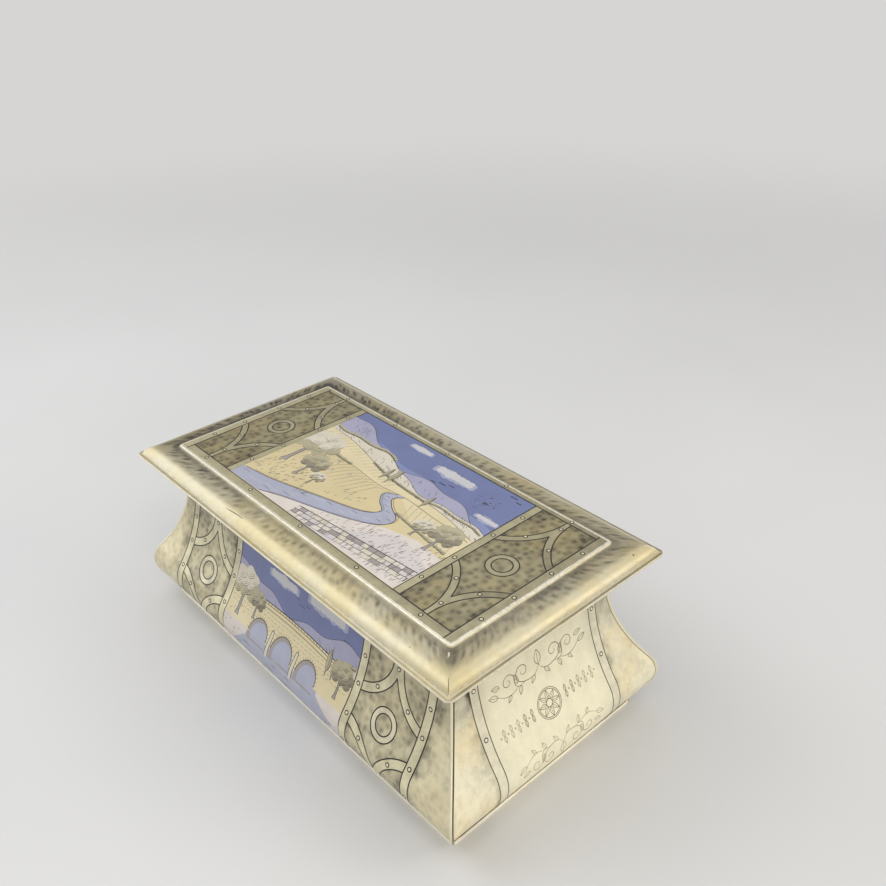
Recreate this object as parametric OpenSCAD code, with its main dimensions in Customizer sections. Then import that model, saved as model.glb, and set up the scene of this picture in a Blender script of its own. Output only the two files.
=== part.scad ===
// Hinged deed box in printed tinplate: four pressed ogee walls with folded corner
// seams, a seamed base, a wired mouth, two butt hinges and a moulded, overhanging lid.
// Origin at the centre of the footprint, on the table. +X is the right end, the front
// is -Y, the hinges are at the back.

/* [Lid plan] */
// Length of the lid over its lips
lid_l = 254; // [200:1:320]
// Depth of the lid, front lip to back lip
lid_w = 135.8; // [110:0.1:180]

/* [Body profile] */
// How far the neck of the body stands in from the lid's lip
neck_inset = 18.7; // [15:0.1:24]
// How far the belly stands out past the lid's lip
belly_out = 1.9; // [0:0.1:4]
// Radius of the belly
belly_r = 16.8; // [13:0.1:19]
// Height of the belly's fullest line above the table
belly_z = 22.7; // [20:0.1:30]
// Rise of the cove from the belly's fullest line to the foot of the neck
cove_h = 61.6; // [50:0.1:80]
// Height of the straight neck, up to the middle of the mouth's rolled edge
neck_h = 9; // [8:0.1:16]
// How far the foot of a wall stands in from the lid's lip
foot_inset = 7.7; // [6:0.1:10]

/* [Sheet] */
// Thickness of the wall sheet
wall_t = 0.5; // [0.3:0.05:0.8]
// Thickness of the lid's pressed sheet and of its frame
lid_t = 0.4; // [0.3:0.05:0.6]
// Thickness of the base sheet and of its rim strips
base_t = 0.4; // [0.3:0.05:0.8]
// Thickness of the folded corner seams
seam_t = 0.4; // [0.2:0.05:0.6]
// Width of a corner seam on each of the two walls that it joins
seam_w = 1.1; // [0.6:0.1:2]

/* [Base rim] */
// How far the rim stands out from the foot of a wall
rim_out = 1.6; // [1:0.1:2.5]
// Width of the rim's strip under the base
rim_foot = 5; // [4:0.1:8]
// Gap between the rim's upper lip and the wall
rim_gap = 0.6; // [0.5:0.1:0.8]
// Length cut off each corner of the rim
rim_clip = 1.8; // [1:0.1:3]

/* [Mouth] */
// Radius of the wire in the mouth's rolled edge
wire_r = 0.8; // [0.6:0.05:1.2]
// Clearance round the wire and round the hinge pins
wire_fit = 0.05; // [0.03:0.01:0.1]
// Turn of the rolled edge, in degrees
roll_turn = 290; // [200:5:310]

/* [Lid moulding] */
// Width of the flat band inside the lip
lip_band = 2.3; // [1.5:0.1:4]
// Small riser between the band and the round of the moulding
band_riser = 0.3; // [0.1:0.05:0.8]
// Run of the moulding's round
round_run = 7.2; // [6:0.1:9]
// Rise of the moulding's round
round_rise = 4.1; // [3:0.1:5.5]
// Width of the whole border, from the lip to the top edge of the raised panel
border_w = 17.8; // [16.5:0.1:22]
// Rise of the border between its round and the panel's step
border_rise = 0.2; // [0.1:0.05:0.6]
// Run of the step up to the raised panel
step_run = 1.2; // [0.8:0.1:2]
// Rise of the step up to the raised panel
step_rise = 1.4; // [0.8:0.1:2.5]
// Width of the hem folded back under the lip
hem_w = 3; // [2:0.1:5]
// Length cut off each corner of the lip
lip_clip = 2.6; // [1.5:0.1:4]

/* [Lid skirt] */
// Depth of the skirt below the lid's frame
skirt_h = 7.5; // [5:0.1:10]
// Width of the skirt's flange on top of the frame
skirt_flange = 4; // [3:0.1:6]
// Play between the skirt and the mouth's rolled edge
skirt_play = 0.5; // [0.4:0.05:0.8]
// Gap between the closed lid's frame and the mouth
lid_gap = 0.3; // [0.3:0.05:0.6]

/* [Hinges] */
// Distance from each end of the lid to the middle of a hinge
hinge_inset = 62; // [48:1:76]
// Width of a hinge along its pin
hinge_w = 26; // [20:1:36]
// Width of the lid leaf's middle knuckle
lid_knuckle_w = 8; // [6:0.5:12]
// Radius of a hinge pin
pin_r = 0.8; // [0.6:0.05:1]
// Thickness of a hinge leaf
leaf_t = 0.6; // [0.5:0.05:0.7]
// Thickness of a knuckle's wall round its pin
knuckle_wall = 0.75; // [0.7:0.05:0.9]
// Clearance between a knuckle and what it turns beside
knuckle_gap = 0.35; // [0.3:0.01:0.4]
// Length of the body leaf below the hinge's axis
body_leaf_l = 8.2; // [7.5:0.1:8.6]
// Length of the lid leaf behind the hinge's axis
lid_leaf_l = 10.4; // [9:0.1:12]
// Distance between a leaf's two rivets
rivet_pitch = 16; // [14:0.5:17]
// Radius of a rivet's shank
rivet_r = 0.9; // [0.7:0.05:1.1]
// Radius of a rivet's head
rivet_head_r = 1.7; // [1.5:0.1:2]
// Height of a rivet's head
rivet_head_h = 0.35; // [0.25:0.05:0.5]
// Distance from the hinge's axis to the rivets
rivet_back = 5.6; // [5:0.1:6]

/* [Hidden] */
$fn = 48;
// Steps in each curve of the wall's section and of the lid's moulding
cove_steps = 24;
belly_steps = 14;
roll_steps = 20;
round_steps = 12;
// Length by which cutting shapes run past what they cut
over = 10;

half_l = lid_l / 2;
half_w = lid_w / 2;

// Wall section, in distance out from the lip's plane and height. The belly's circle and
// the cove's circle touch, and the foot runs straight off the belly's circle.
belly_s = belly_out - belly_r;
belly_to_neck = -neck_inset - belly_s;
cove_r = (pow(belly_to_neck, 2) + pow(cove_h, 2) - pow(belly_r, 2)) / (2 * (belly_r - belly_to_neck));
cove_s = cove_r - neck_inset;
cove_z = belly_z + cove_h;
turn_up = atan(cove_h / (cove_s - belly_s));
flange_top = 2 * base_t + wall_t;
foot_ds = -foot_inset - belly_s;
foot_dz = flange_top - belly_z;
turn_down = -atan2(foot_dz, foot_ds) - acos(belly_r / norm([foot_ds, foot_dz]));

// Base rim
rim_inset = foot_inset - rim_out;
rim_h = flange_top + base_t;
flange_inset = rim_inset + base_t + wire_fit;

// Mouth
roll_in_r = wire_r + wire_fit;
roll_out_r = roll_in_r + wall_t;
roll_s = -neck_inset - roll_out_r;
roll_z = cove_z + neck_h;
mouth_z = roll_z + roll_out_r;

// Lid heights, from the frame's underside upwards
frame_z = mouth_z + lid_gap;
frame_top = frame_z + lid_t;
lip_low = frame_z - lid_t;
lip_z = frame_top + lid_t;
round_z = lip_z + band_riser;
border_z = round_z + round_rise;
step_z = border_z + border_rise;
panel_z = step_z + step_rise;
round_r = (pow(round_run, 2) + pow(round_rise, 2)) / (2 * round_rise);
round_turn = asin(round_run / round_r);
round_inset = lip_band + round_run;

// Lid skirt
skirt_inset = neck_inset + 2 * roll_out_r + skirt_play;

// Hinges
hinge_x = half_l - hinge_inset;
knuckle_r = pin_r + wire_fit + knuckle_wall;
hinge_y = half_w - neck_inset + knuckle_gap + knuckle_r;
hinge_z = frame_z - knuckle_gap - knuckle_r;

// Points of the wall's curve from the belly's lower end up to the neck, moved outwards by off
function wall_curve(off) = concat(
  [for (i = [0:belly_steps]) let (a = -turn_down + (turn_up + turn_down) * i / belly_steps)
    [belly_s + (belly_r + off) * cos(a), belly_z + (belly_r + off) * sin(a)]],
  [for (i = [1:cove_steps]) let (a = turn_up * (1 - i / cove_steps))
    [cove_s - (cove_r - off) * cos(a), cove_z - (cove_r - off) * sin(a)]]
);

// Point at height z on the straight foot, moved outwards by off
function foot_point(off, z) = [
  -foot_inset + off / cos(turn_down) + (z - flange_top) * tan(turn_down), z
];

function reversed(list) = [for (i = [len(list) - 1:-1:0]) list[i]];

// Arc of the mouth's rolled edge, from its outer side over the top and round
function roll_arc(r) = [for (i = [0:roll_steps]) let (a = roll_turn * i / roll_steps)
  [roll_s + r * cos(a), roll_z + r * sin(a)]];

function wall_section() = concat(
  [[-flange_inset, flange_top], foot_point(0, flange_top)],
  wall_curve(0),
  roll_arc(roll_out_r),
  reversed(roll_arc(roll_in_r)),
  reversed(wall_curve(-wall_t)),
  [foot_point(-wall_t, flange_top - wall_t), [-flange_inset, flange_top - wall_t]]
);

function seam_section() = concat(
  [foot_point(0, rim_h), foot_point(seam_t, rim_h)],
  wall_curve(seam_t),
  [[-neck_inset + seam_t, roll_z], [-neck_inset, roll_z]],
  reversed(wall_curve(0))
);

function rim_section() = [
  [-rim_inset, 0], [-rim_inset, rim_h], [-foot_inset + rim_gap, rim_h],
  [-foot_inset + rim_gap, rim_h - base_t], [-rim_inset - base_t, rim_h - base_t],
  [-rim_inset - base_t, base_t], [-rim_inset - rim_foot, base_t], [-rim_inset - rim_foot, 0]
];

function skirt_section() = [
  [-skirt_inset, frame_z - skirt_h], [-skirt_inset, frame_top],
  [-skirt_inset + skirt_flange, frame_top], [-skirt_inset + skirt_flange, frame_top + lid_t],
  [-skirt_inset - lid_t, frame_top + lid_t], [-skirt_inset - lid_t, frame_z - skirt_h]
];

// Upper line of the lid's moulding from the lip to the raised panel, sunk by the depth t
function lid_line(t) = concat(
  [[-t, lip_z - t], [-lip_band - t / 2, lip_z - t]],
  [for (i = [0:round_steps]) let (a = round_turn * (1 - i / round_steps))
    [-round_inset + (round_r - t) * sin(a), border_z - round_r + (round_r - t) * cos(a)]],
  [[-border_w + step_run - t / 2, step_z - t], [-border_w - t / 2, panel_z - t]]
);

// A section run along the back, and one run along the right end
module run_along_x(section) {
  rotate([90, 0, 90])
    linear_extrude(height = lid_l + 2 * over, center = true)
      polygon([for (p = section) [half_w + p[0], p[1]]]);
}

module run_along_y(section) {
  rotate([90, 0, 0])
    linear_extrude(height = lid_w + 2 * over, center = true)
      polygon([for (p = section) [half_l + p[0], p[1]]]);
}

// What lies behind the two back mitres, and what lies outside the two right ones
module back_zone() {
  translate([0, 0, -over])
    linear_extrude(height = panel_z + 2 * over)
      polygon([
        [-half_l - over, half_w + over], [half_l + over, half_w + over],
        [half_l - half_w, 0], [half_w - half_l, 0]
      ]);
}

module right_zone() {
  translate([0, 0, -over])
    linear_extrude(height = panel_z + 2 * over)
      polygon([
        [half_l + over, -half_w - over], [half_l + over, half_w + over], [half_l - half_w, 0]
      ]);
}

module back_side(section) {
  intersection() {
    run_along_x(section);
    back_zone();
  }
}

module right_side(section) {
  intersection() {
    run_along_y(section);
    right_zone();
  }
}

// Square posts that cut the four corners of an outline that stands in by inset
module corner_cuts(inset, clip) {
  for (x = [-1, 1], y = [-1, 1])
    translate([x * (half_l - inset), y * (half_w - inset), -over])
      rotate(45)
        translate([-clip / sqrt(2), -clip / sqrt(2), 0])
          cube([clip * sqrt(2), clip * sqrt(2), panel_z + 2 * over]);
}

module plate(inset, z, t) {
  translate([inset - half_l, inset - half_w, z])
    cube([lid_l - 2 * inset, lid_w - 2 * inset, t]);
}

// Walls
module plain_back_wall() {
  back_side(wall_section());
}

module front_wall() {
  color([0.66, 0.64, 0.48]) mirror([0, 1, 0]) plain_back_wall();
}

module back_wall() {
  color([0.66, 0.64, 0.48])
    difference() {
      plain_back_wall();
      for (x = hinge_places()) body_rivet_holes(x);
    }
}

module right_wall() {
  color([0.76, 0.72, 0.55]) right_side(wall_section());
}

module left_wall() {
  color([0.76, 0.72, 0.55]) mirror([1, 0, 0]) right_side(wall_section());
}

// Folded seam on the back right corner, mirrored to the other corners
module seam() {
  color([0.80, 0.77, 0.66])
    intersection() {
      union() {
        back_side(seam_section());
        right_side(seam_section());
      }
      translate([half_l, half_w, 0])
        rotate(-135)
          translate([-2 * over, -seam_w / sqrt(2), 0])
            cube([2 * over + neck_inset * 2, seam_w * sqrt(2), panel_z]);
    }
}

// Base
module base_plate() {
  color([0.62, 0.60, 0.55])
    difference() {
      plate(flange_inset, base_t, base_t);
      corner_cuts(flange_inset, rim_clip);
    }
}

module clipped_rim() {
  color([0.78, 0.75, 0.70])
    difference() {
      children();
      corner_cuts(rim_inset, rim_clip);
    }
}

module rim_back() {
  clipped_rim() back_side(rim_section());
}

module rim_right() {
  clipped_rim() right_side(rim_section());
}

// Mouth wire
module wire_back() {
  intersection() {
    translate([0, half_w + roll_s, roll_z])
      rotate([0, 90, 0]) cylinder(r = wire_r, h = lid_l, center = true);
    back_zone();
  }
}

module wire_right() {
  intersection() {
    translate([half_l + roll_s, 0, roll_z])
      rotate([90, 0, 0]) cylinder(r = wire_r, h = lid_w, center = true);
    right_zone();
  }
}

module mouth_wire() {
  color([0.55, 0.55, 0.56])
    union() {
      wire_back();
      mirror([0, 1, 0]) wire_back();
      wire_right();
      mirror([1, 0, 0]) wire_right();
    }
}

// Solid under a mitred moulding, the same on all four sides
module moulded_block(line, low) {
  across_y = concat([for (p = line) [half_w + p[0], p[1]]],
                    [for (p = reversed(line)) [-half_w - p[0], p[1]]],
                    [[-half_w - line[0][0], low], [half_w + line[0][0], low]]);
  across_x = concat([for (p = line) [half_l + p[0], p[1]]],
                    [for (p = reversed(line)) [-half_l - p[0], p[1]]],
                    [[-half_l - line[0][0], low], [half_l + line[0][0], low]]);
  intersection() {
    rotate([90, 0, 90]) linear_extrude(height = lid_l + over, center = true) polygon(across_y);
    rotate([90, 0, 0]) linear_extrude(height = lid_w + over, center = true) polygon(across_x);
  }
}

module lid_top() {
  color([0.70, 0.68, 0.50])
    difference() {
      moulded_block(lid_line(0), lip_low);
      moulded_block(lid_line(lid_t), frame_z);
      plate(hem_w, lip_low - over, over + 2 * lid_t);
      corner_cuts(0, lip_clip);
    }
}

module lid_frame() {
  color([0.62, 0.60, 0.55])
    difference() {
      plate(lid_t, frame_z, lid_t);
      plate(skirt_inset, frame_z - over, over + 2 * lid_t);
      corner_cuts(lid_t, lip_clip);
      for (x = hinge_places()) lid_rivet_holes(x);
    }
}

module skirt_back() {
  color([0.62, 0.60, 0.55]) back_side(skirt_section());
}

module skirt_right() {
  color([0.62, 0.60, 0.55]) right_side(skirt_section());
}

// Hinges
function hinge_places() = [-hinge_x, hinge_x];

module along_hinge(x, r, length) {
  translate([x, hinge_y, hinge_z])
    rotate([0, 90, 0]) cylinder(r = r, h = length, center = true);
}

module body_rivets_at(x, r, low, high) {
  for (side = [-1, 1])
    translate([x + side * rivet_pitch / 2, half_w - neck_inset + low, hinge_z - rivet_back])
      rotate([-90, 0, 0]) cylinder(r = r, h = high - low);
}

module lid_rivets_at(x, r, low, high) {
  for (side = [-1, 1])
    translate([x + side * rivet_pitch / 2, hinge_y + rivet_back, frame_z + low])
      cylinder(r = r, h = high - low);
}

module body_rivet_holes(x) {
  body_rivets_at(x, rivet_r + wire_fit, -wall_t - 1, leaf_t + 1);
}

module lid_rivet_holes(x) {
  lid_rivets_at(x, rivet_r + wire_fit, -leaf_t - 1, lid_t + 1);
}

module body_leaf(x) {
  gap_w = lid_knuckle_w + 2 * knuckle_gap;
  gap_z = hinge_z - knuckle_r - knuckle_gap;
  color([0.60, 0.60, 0.60])
    difference() {
      union() {
        translate([x - hinge_w / 2, half_w - neck_inset, hinge_z - body_leaf_l])
          cube([hinge_w, leaf_t, body_leaf_l]);
        along_hinge(x, knuckle_r, hinge_w);
      }
      translate([x - gap_w / 2, half_w - neck_inset - 1, gap_z])
        cube([gap_w, 3 * knuckle_r + 1, 3 * knuckle_r]);
      along_hinge(x, pin_r + wire_fit, hinge_w + 2);
      body_rivet_holes(x);
    }
}

module lid_leaf(x) {
  clear_y = hinge_y + knuckle_r + knuckle_gap;
  color([0.60, 0.60, 0.60])
    difference() {
      union() {
        translate([x - hinge_w / 2, clear_y, frame_z - leaf_t])
          cube([hinge_w, lid_leaf_l - knuckle_r - knuckle_gap, leaf_t]);
        translate([x - lid_knuckle_w / 2, hinge_y, frame_z - leaf_t])
          cube([lid_knuckle_w, knuckle_r + 2 * knuckle_gap, leaf_t]);
        along_hinge(x, knuckle_r, lid_knuckle_w);
      }
      along_hinge(x, pin_r + wire_fit, lid_knuckle_w + 2);
      lid_rivet_holes(x);
    }
}

module pin(x) {
  color([0.72, 0.72, 0.72]) along_hinge(x, pin_r, hinge_w + 1);
}

module hinge_body_rivets() {
  color([0.72, 0.72, 0.72])
    for (x = hinge_places()) {
      body_rivets_at(x, rivet_r, -wall_t - rivet_head_h, leaf_t + rivet_head_h);
      body_rivets_at(x, rivet_head_r, leaf_t, leaf_t + rivet_head_h);
      body_rivets_at(x, rivet_head_r, -wall_t - rivet_head_h, -wall_t);
    }
}

module hinge_lid_rivets() {
  color([0.72, 0.72, 0.72])
    for (x = hinge_places()) {
      lid_rivets_at(x, rivet_r, -leaf_t - rivet_head_h, lid_t + rivet_head_h);
      lid_rivets_at(x, rivet_head_r, -leaf_t - rivet_head_h, -leaf_t);
      lid_rivets_at(x, rivet_head_r, lid_t, lid_t + rivet_head_h);
    }
}

front_wall();
back_wall();
left_wall();
right_wall();
mirror([1, 0, 0]) mirror([0, 1, 0]) seam();  // seam_front_left
mirror([0, 1, 0]) seam();  // seam_front_right
mirror([1, 0, 0]) seam();  // seam_back_left
seam();  // seam_back_right
base_plate();
mirror([0, 1, 0]) rim_back();  // rim_front
rim_back();
mirror([1, 0, 0]) rim_right();  // rim_left
rim_right();
mouth_wire();
body_leaf(-hinge_x);  // hinge_left_body_leaf
body_leaf(hinge_x);  // hinge_right_body_leaf
pin(-hinge_x);  // hinge_left_pin
pin(hinge_x);  // hinge_right_pin
hinge_body_rivets();
lid_top();
lid_frame();
mirror([0, 1, 0]) skirt_back();  // skirt_front
skirt_back();
mirror([1, 0, 0]) skirt_right();  // skirt_left
skirt_right();
lid_leaf(-hinge_x);  // hinge_left_lid_leaf
lid_leaf(hinge_x);  // hinge_right_lid_leaf
hinge_lid_rivets();
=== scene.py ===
# Looks of a printed tinplate deed box: pressed ogee walls with folded corner seams, a
# seamed base rim and a moulded, hinged lid. The sheet's shapes are in millimetres and are
# made metres when a mesh is made. +X is the right end, -Y the front, +Z up.

import math
import random

import bmesh
import bpy
from mathutils import Matrix, Vector


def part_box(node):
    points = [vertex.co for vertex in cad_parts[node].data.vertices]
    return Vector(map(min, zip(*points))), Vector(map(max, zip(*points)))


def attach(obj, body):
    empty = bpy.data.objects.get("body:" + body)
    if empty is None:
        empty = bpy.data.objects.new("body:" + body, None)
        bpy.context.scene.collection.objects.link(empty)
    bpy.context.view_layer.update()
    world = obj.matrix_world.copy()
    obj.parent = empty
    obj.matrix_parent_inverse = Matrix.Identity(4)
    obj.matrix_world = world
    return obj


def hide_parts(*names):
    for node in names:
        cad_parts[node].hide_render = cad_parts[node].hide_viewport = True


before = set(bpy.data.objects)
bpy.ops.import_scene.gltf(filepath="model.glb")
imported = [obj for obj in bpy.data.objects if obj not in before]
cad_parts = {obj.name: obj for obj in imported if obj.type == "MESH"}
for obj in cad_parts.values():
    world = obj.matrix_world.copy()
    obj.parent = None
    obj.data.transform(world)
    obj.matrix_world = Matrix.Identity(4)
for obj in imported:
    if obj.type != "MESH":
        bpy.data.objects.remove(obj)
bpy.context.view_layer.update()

MM = 0.001
UP = Vector((0, 0, 1))


# Sizes of the pressed sheet, as the frame has them

lid_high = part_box("lid_top")[1]
HALF_L = lid_high[0] / MM
HALF_W = lid_high[1] / MM
PANEL_TOP = lid_high[2] / MM

NECK_INSET = 18.7
BELLY_OUT = 1.9
BELLY_R = 16.8
BELLY_Z = 22.7
COVE_H = 61.6
NECK_H = 9.0
FOOT_INSET = 7.7
WALL_T = 0.5
LID_T = 0.4
SEAM_T = 0.4
SEAM_W = 1.1
RIM_INSET = 6.1
RIM_FOOT = 5.0
RIM_LIP = 7.1
RIM_H = 1.7
RIM_CLIP = 1.8
FLANGE_TOP = 1.3
FLANGE_INSET = 6.55
ROLL_IN_R = 0.85
ROLL_OUT_R = ROLL_IN_R + WALL_T
ROLL_TURN = math.radians(290)

BELLY_S = BELLY_OUT - BELLY_R
TO_NECK = -NECK_INSET - BELLY_S
COVE_R = (TO_NECK ** 2 + COVE_H ** 2 - BELLY_R ** 2) / (2 * (BELLY_R - TO_NECK))
COVE_S = COVE_R - NECK_INSET
COVE_Z = BELLY_Z + COVE_H
TURN_UP = math.atan(COVE_H / (COVE_S - BELLY_S))
FOOT_DS = -FOOT_INSET - BELLY_S
FOOT_DZ = FLANGE_TOP - BELLY_Z
TURN_DOWN = -math.atan2(FOOT_DZ, FOOT_DS) - math.acos(BELLY_R / math.hypot(FOOT_DS, FOOT_DZ))
ROLL_S = -NECK_INSET - ROLL_OUT_R
ROLL_Z = COVE_Z + NECK_H

# Lengths along a wall's outer face, from its foot upwards
FOOT_RUN = math.sqrt(FOOT_DS ** 2 + FOOT_DZ ** 2 - BELLY_R ** 2)
BELLY_RUN = BELLY_R * (TURN_UP + TURN_DOWN)
BELLY_TOP = FOOT_RUN + BELLY_RUN
COVE_TOP = BELLY_TOP + COVE_R * TURN_UP
NECK_TOP = COVE_TOP + NECK_H
ROLL_END = NECK_TOP + ROLL_OUT_R * ROLL_TURN

# Lid heights and the insets of its moulding from the lip
LIP_LOW = 94.55
LIP_TOP = 95.75
LIP_R = (LIP_TOP - LIP_LOW) / 2
LIP_BAND = 2.3
LIP_CLIP = 2.6
HEM_W = 3.0
ROUND_FOOT = 96.05
ROUND_RUN = 7.2
ROUND_RISE = 4.1
ROUND_R = (ROUND_RUN ** 2 + ROUND_RISE ** 2) / (2 * ROUND_RISE)
ROUND_END = LIP_BAND + ROUND_RUN
BORDER_Z = ROUND_FOOT + ROUND_RISE
STEP_Z = 100.35
STEP_FOOT = 16.6
BORDER_W = 17.8
PRINT_DEPTH = 0.3
PANEL_Z = PANEL_TOP - PRINT_DEPTH


# Colours, written as they look

def shade(red, green, blue):
    """A colour given in display values, as the shader takes it."""
    linear = []
    for value in (red, green, blue):
        value = value / 255
        linear.append(value / 12.92 if value <= 0.04045 else ((value + 0.055) / 1.055) ** 2.4)
    return (*linear, 1.0)


# The lid's olive, gold and strap colours are darker than the walls' matching print colours, partly
# as painted shade on the lid.
OLIVE = shade(158, 149, 115)
OLIVE_GOLD = shade(158, 145, 105)
OLIVE_DARK = shade(58, 50, 32)
WALL_OLIVE = shade(228, 219, 183)
WALL_GOLD = shade(222, 209, 170)
CREAM = shade(246, 238, 208)
CREAM_GOLD = shade(242, 226, 182)
STRAP = shade(184, 175, 139)
STRAP_PALE = shade(226, 217, 180)
PANEL_CREAM = shade(247, 239, 208)
INK = shade(26, 22, 15)
RIVET_PALE = shade(226, 217, 188)
# Bare tin, shown where the print is worn and as painted highlights along the lid's edges.
BARE_TIN_AND_HIGHLIGHT = shade(226, 219, 200)
DULL_TIN = shade(176, 172, 160)
TIN_STAIN = shade(126, 114, 92)
STEEL = shade(150, 149, 146)
SKY = shade(106, 114, 154)
SKY_LOW = shade(122, 133, 170)
CLOUD = shade(190, 188, 190)
CLOUD_SHADE = shade(152, 156, 178)
FAR_HILL = shade(158, 156, 178)
NEAR_HILL = shade(202, 194, 190)
FIELD = shade(214, 200, 160)
FIELD_PALE = shade(208, 199, 180)
FIELD_GOLD = shade(206, 190, 146)
LEAF = shade(176, 167, 136)
LEAF_DARK = shade(142, 134, 112)
STONE = shade(213, 203, 193)
STONE_DARK = shade(156, 148, 142)
WATER = shade(164, 166, 182)
GREY_INK = shade(84, 78, 76)
BROWN_INK = shade(106, 94, 68)


# Node helpers

class Nodes:
    """Builds one material's nodes, left to right."""

    def __init__(self, name):
        self.material = bpy.data.materials.new(name)
        self.material.use_nodes = True
        self.tree = self.material.node_tree
        self.tree.nodes.clear()
        self.output = self.tree.nodes.new("ShaderNodeOutputMaterial")
        self.shader = self.tree.nodes.new("ShaderNodeBsdfPrincipled")
        self.tree.links.new(self.shader.outputs[0], self.output.inputs["Surface"])
        self.coords = self.tree.nodes.new("ShaderNodeTexCoord")

    def link(self, source, target):
        self.tree.links.new(source, target)

    def put(self, socket, value):
        if isinstance(value, bpy.types.NodeSocket):
            self.link(value, socket)
        else:
            socket.default_value = value

    def place(self, stretch=(1, 1, 1)):
        """Object coordinates, stretched."""
        node = self.tree.nodes.new("ShaderNodeMapping")
        node.inputs["Scale"].default_value = stretch
        self.link(self.coords.outputs["Object"], node.inputs["Vector"])
        return node.outputs["Vector"]

    def sheet(self, stretch=(1, 1, 1)):
        """Where a point lies along and up the sheet that it is printed on."""
        node = self.tree.nodes.new("ShaderNodeMapping")
        node.inputs["Scale"].default_value = stretch
        given = self.tree.nodes.new("ShaderNodeAttribute")
        given.attribute_name = "sheet"
        self.link(given.outputs["Vector"], node.inputs["Vector"])
        return node.outputs["Vector"]

    def wander(self, where, size, reach):
        """where, pulled up to reach millimetres off its place."""
        shift = self.tree.nodes.new("ShaderNodeTexNoise")
        shift.inputs["Scale"].default_value = 1 / (size * MM)
        self.link(where, shift.inputs["Vector"])
        pull = self.tree.nodes.new("ShaderNodeVectorMath")
        pull.operation = "MULTIPLY_ADD"
        self.link(shift.outputs["Color"], pull.inputs[0])
        pull.inputs[1].default_value = [2 * reach * MM] * 3
        self.link(where, pull.inputs[2])
        return pull.outputs[0]

    def noise(self, size, detail=3.0, rough=0.5, where=None):
        """Noise whose features are about size millimetres across."""
        node = self.tree.nodes.new("ShaderNodeTexNoise")
        node.inputs["Scale"].default_value = 1 / (size * MM)
        node.inputs["Detail"].default_value = detail
        node.inputs["Roughness"].default_value = rough
        self.link(where or self.coords.outputs["Object"], node.inputs["Vector"])
        return node.outputs["Fac"]

    def cells(self, size, where, even=0.7):
        """Distance to the nearest of points about size millimetres apart, in cells."""
        node = self.tree.nodes.new("ShaderNodeTexVoronoi")
        node.voronoi_dimensions = "2D"
        node.inputs["Scale"].default_value = 1 / (size * MM)
        node.inputs["Randomness"].default_value = even
        self.link(where, node.inputs["Vector"])
        return node.outputs["Distance"]

    def math(self, kind, first, second=0.5, clamp=False):
        node = self.tree.nodes.new("ShaderNodeMath")
        node.operation = kind
        node.use_clamp = clamp
        self.put(node.inputs[0], first)
        self.put(node.inputs[1], second)
        return node.outputs[0]

    def ramp(self, value, low, high, start=0.0, end=1.0):
        """value taken from low..high to start..end, with soft ends."""
        node = self.tree.nodes.new("ShaderNodeMapRange")
        node.interpolation_type = "SMOOTHSTEP"
        self.put(node.inputs["Value"], value)
        node.inputs["From Min"].default_value = low
        node.inputs["From Max"].default_value = high
        node.inputs["To Min"].default_value = start
        node.inputs["To Max"].default_value = end
        return node.outputs["Result"]

    def mix(self, factor, first, second):
        """The first colour at factor 0, the second at 1."""
        node = self.tree.nodes.new("ShaderNodeMix")
        node.data_type = "RGBA"
        node.clamp_factor = True
        self.put(node.inputs["Factor"], factor)
        self.put(node.inputs[6], first)
        self.put(node.inputs[7], second)
        return node.outputs[2]

    def blend(self, factor, first, second):
        """The first number at factor 0, the second at 1."""
        node = self.tree.nodes.new("ShaderNodeMix")
        node.data_type = "FLOAT"
        node.clamp_factor = True
        self.put(node.inputs["Factor"], factor)
        self.put(node.inputs[2], first)
        self.put(node.inputs[3], second)
        return node.outputs[0]

    def attribute(self, name):
        node = self.tree.nodes.new("ShaderNodeAttribute")
        node.attribute_name = name
        return node.outputs["Fac"]

    def bump(self, height, depth):
        """Bumps that are depth millimetres deep."""
        node = self.tree.nodes.new("ShaderNodeBump")
        node.inputs["Distance"].default_value = depth * MM
        self.link(height, node.inputs["Height"])
        self.link(node.outputs["Normal"], self.shader.inputs["Normal"])

    def finish(self, colour, roughness, metallic, coat=0.0, coat_rough=0.1):
        """Sets the shader, with a clear lacquer coat over it."""
        self.put(self.shader.inputs["Base Color"], colour)
        self.put(self.shader.inputs["Roughness"], roughness)
        self.put(self.shader.inputs["Metallic"], metallic)
        self.shader.inputs["Coat Weight"].default_value = coat
        self.shader.inputs["Coat Roughness"].default_value = coat_rough
        return self.material


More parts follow.
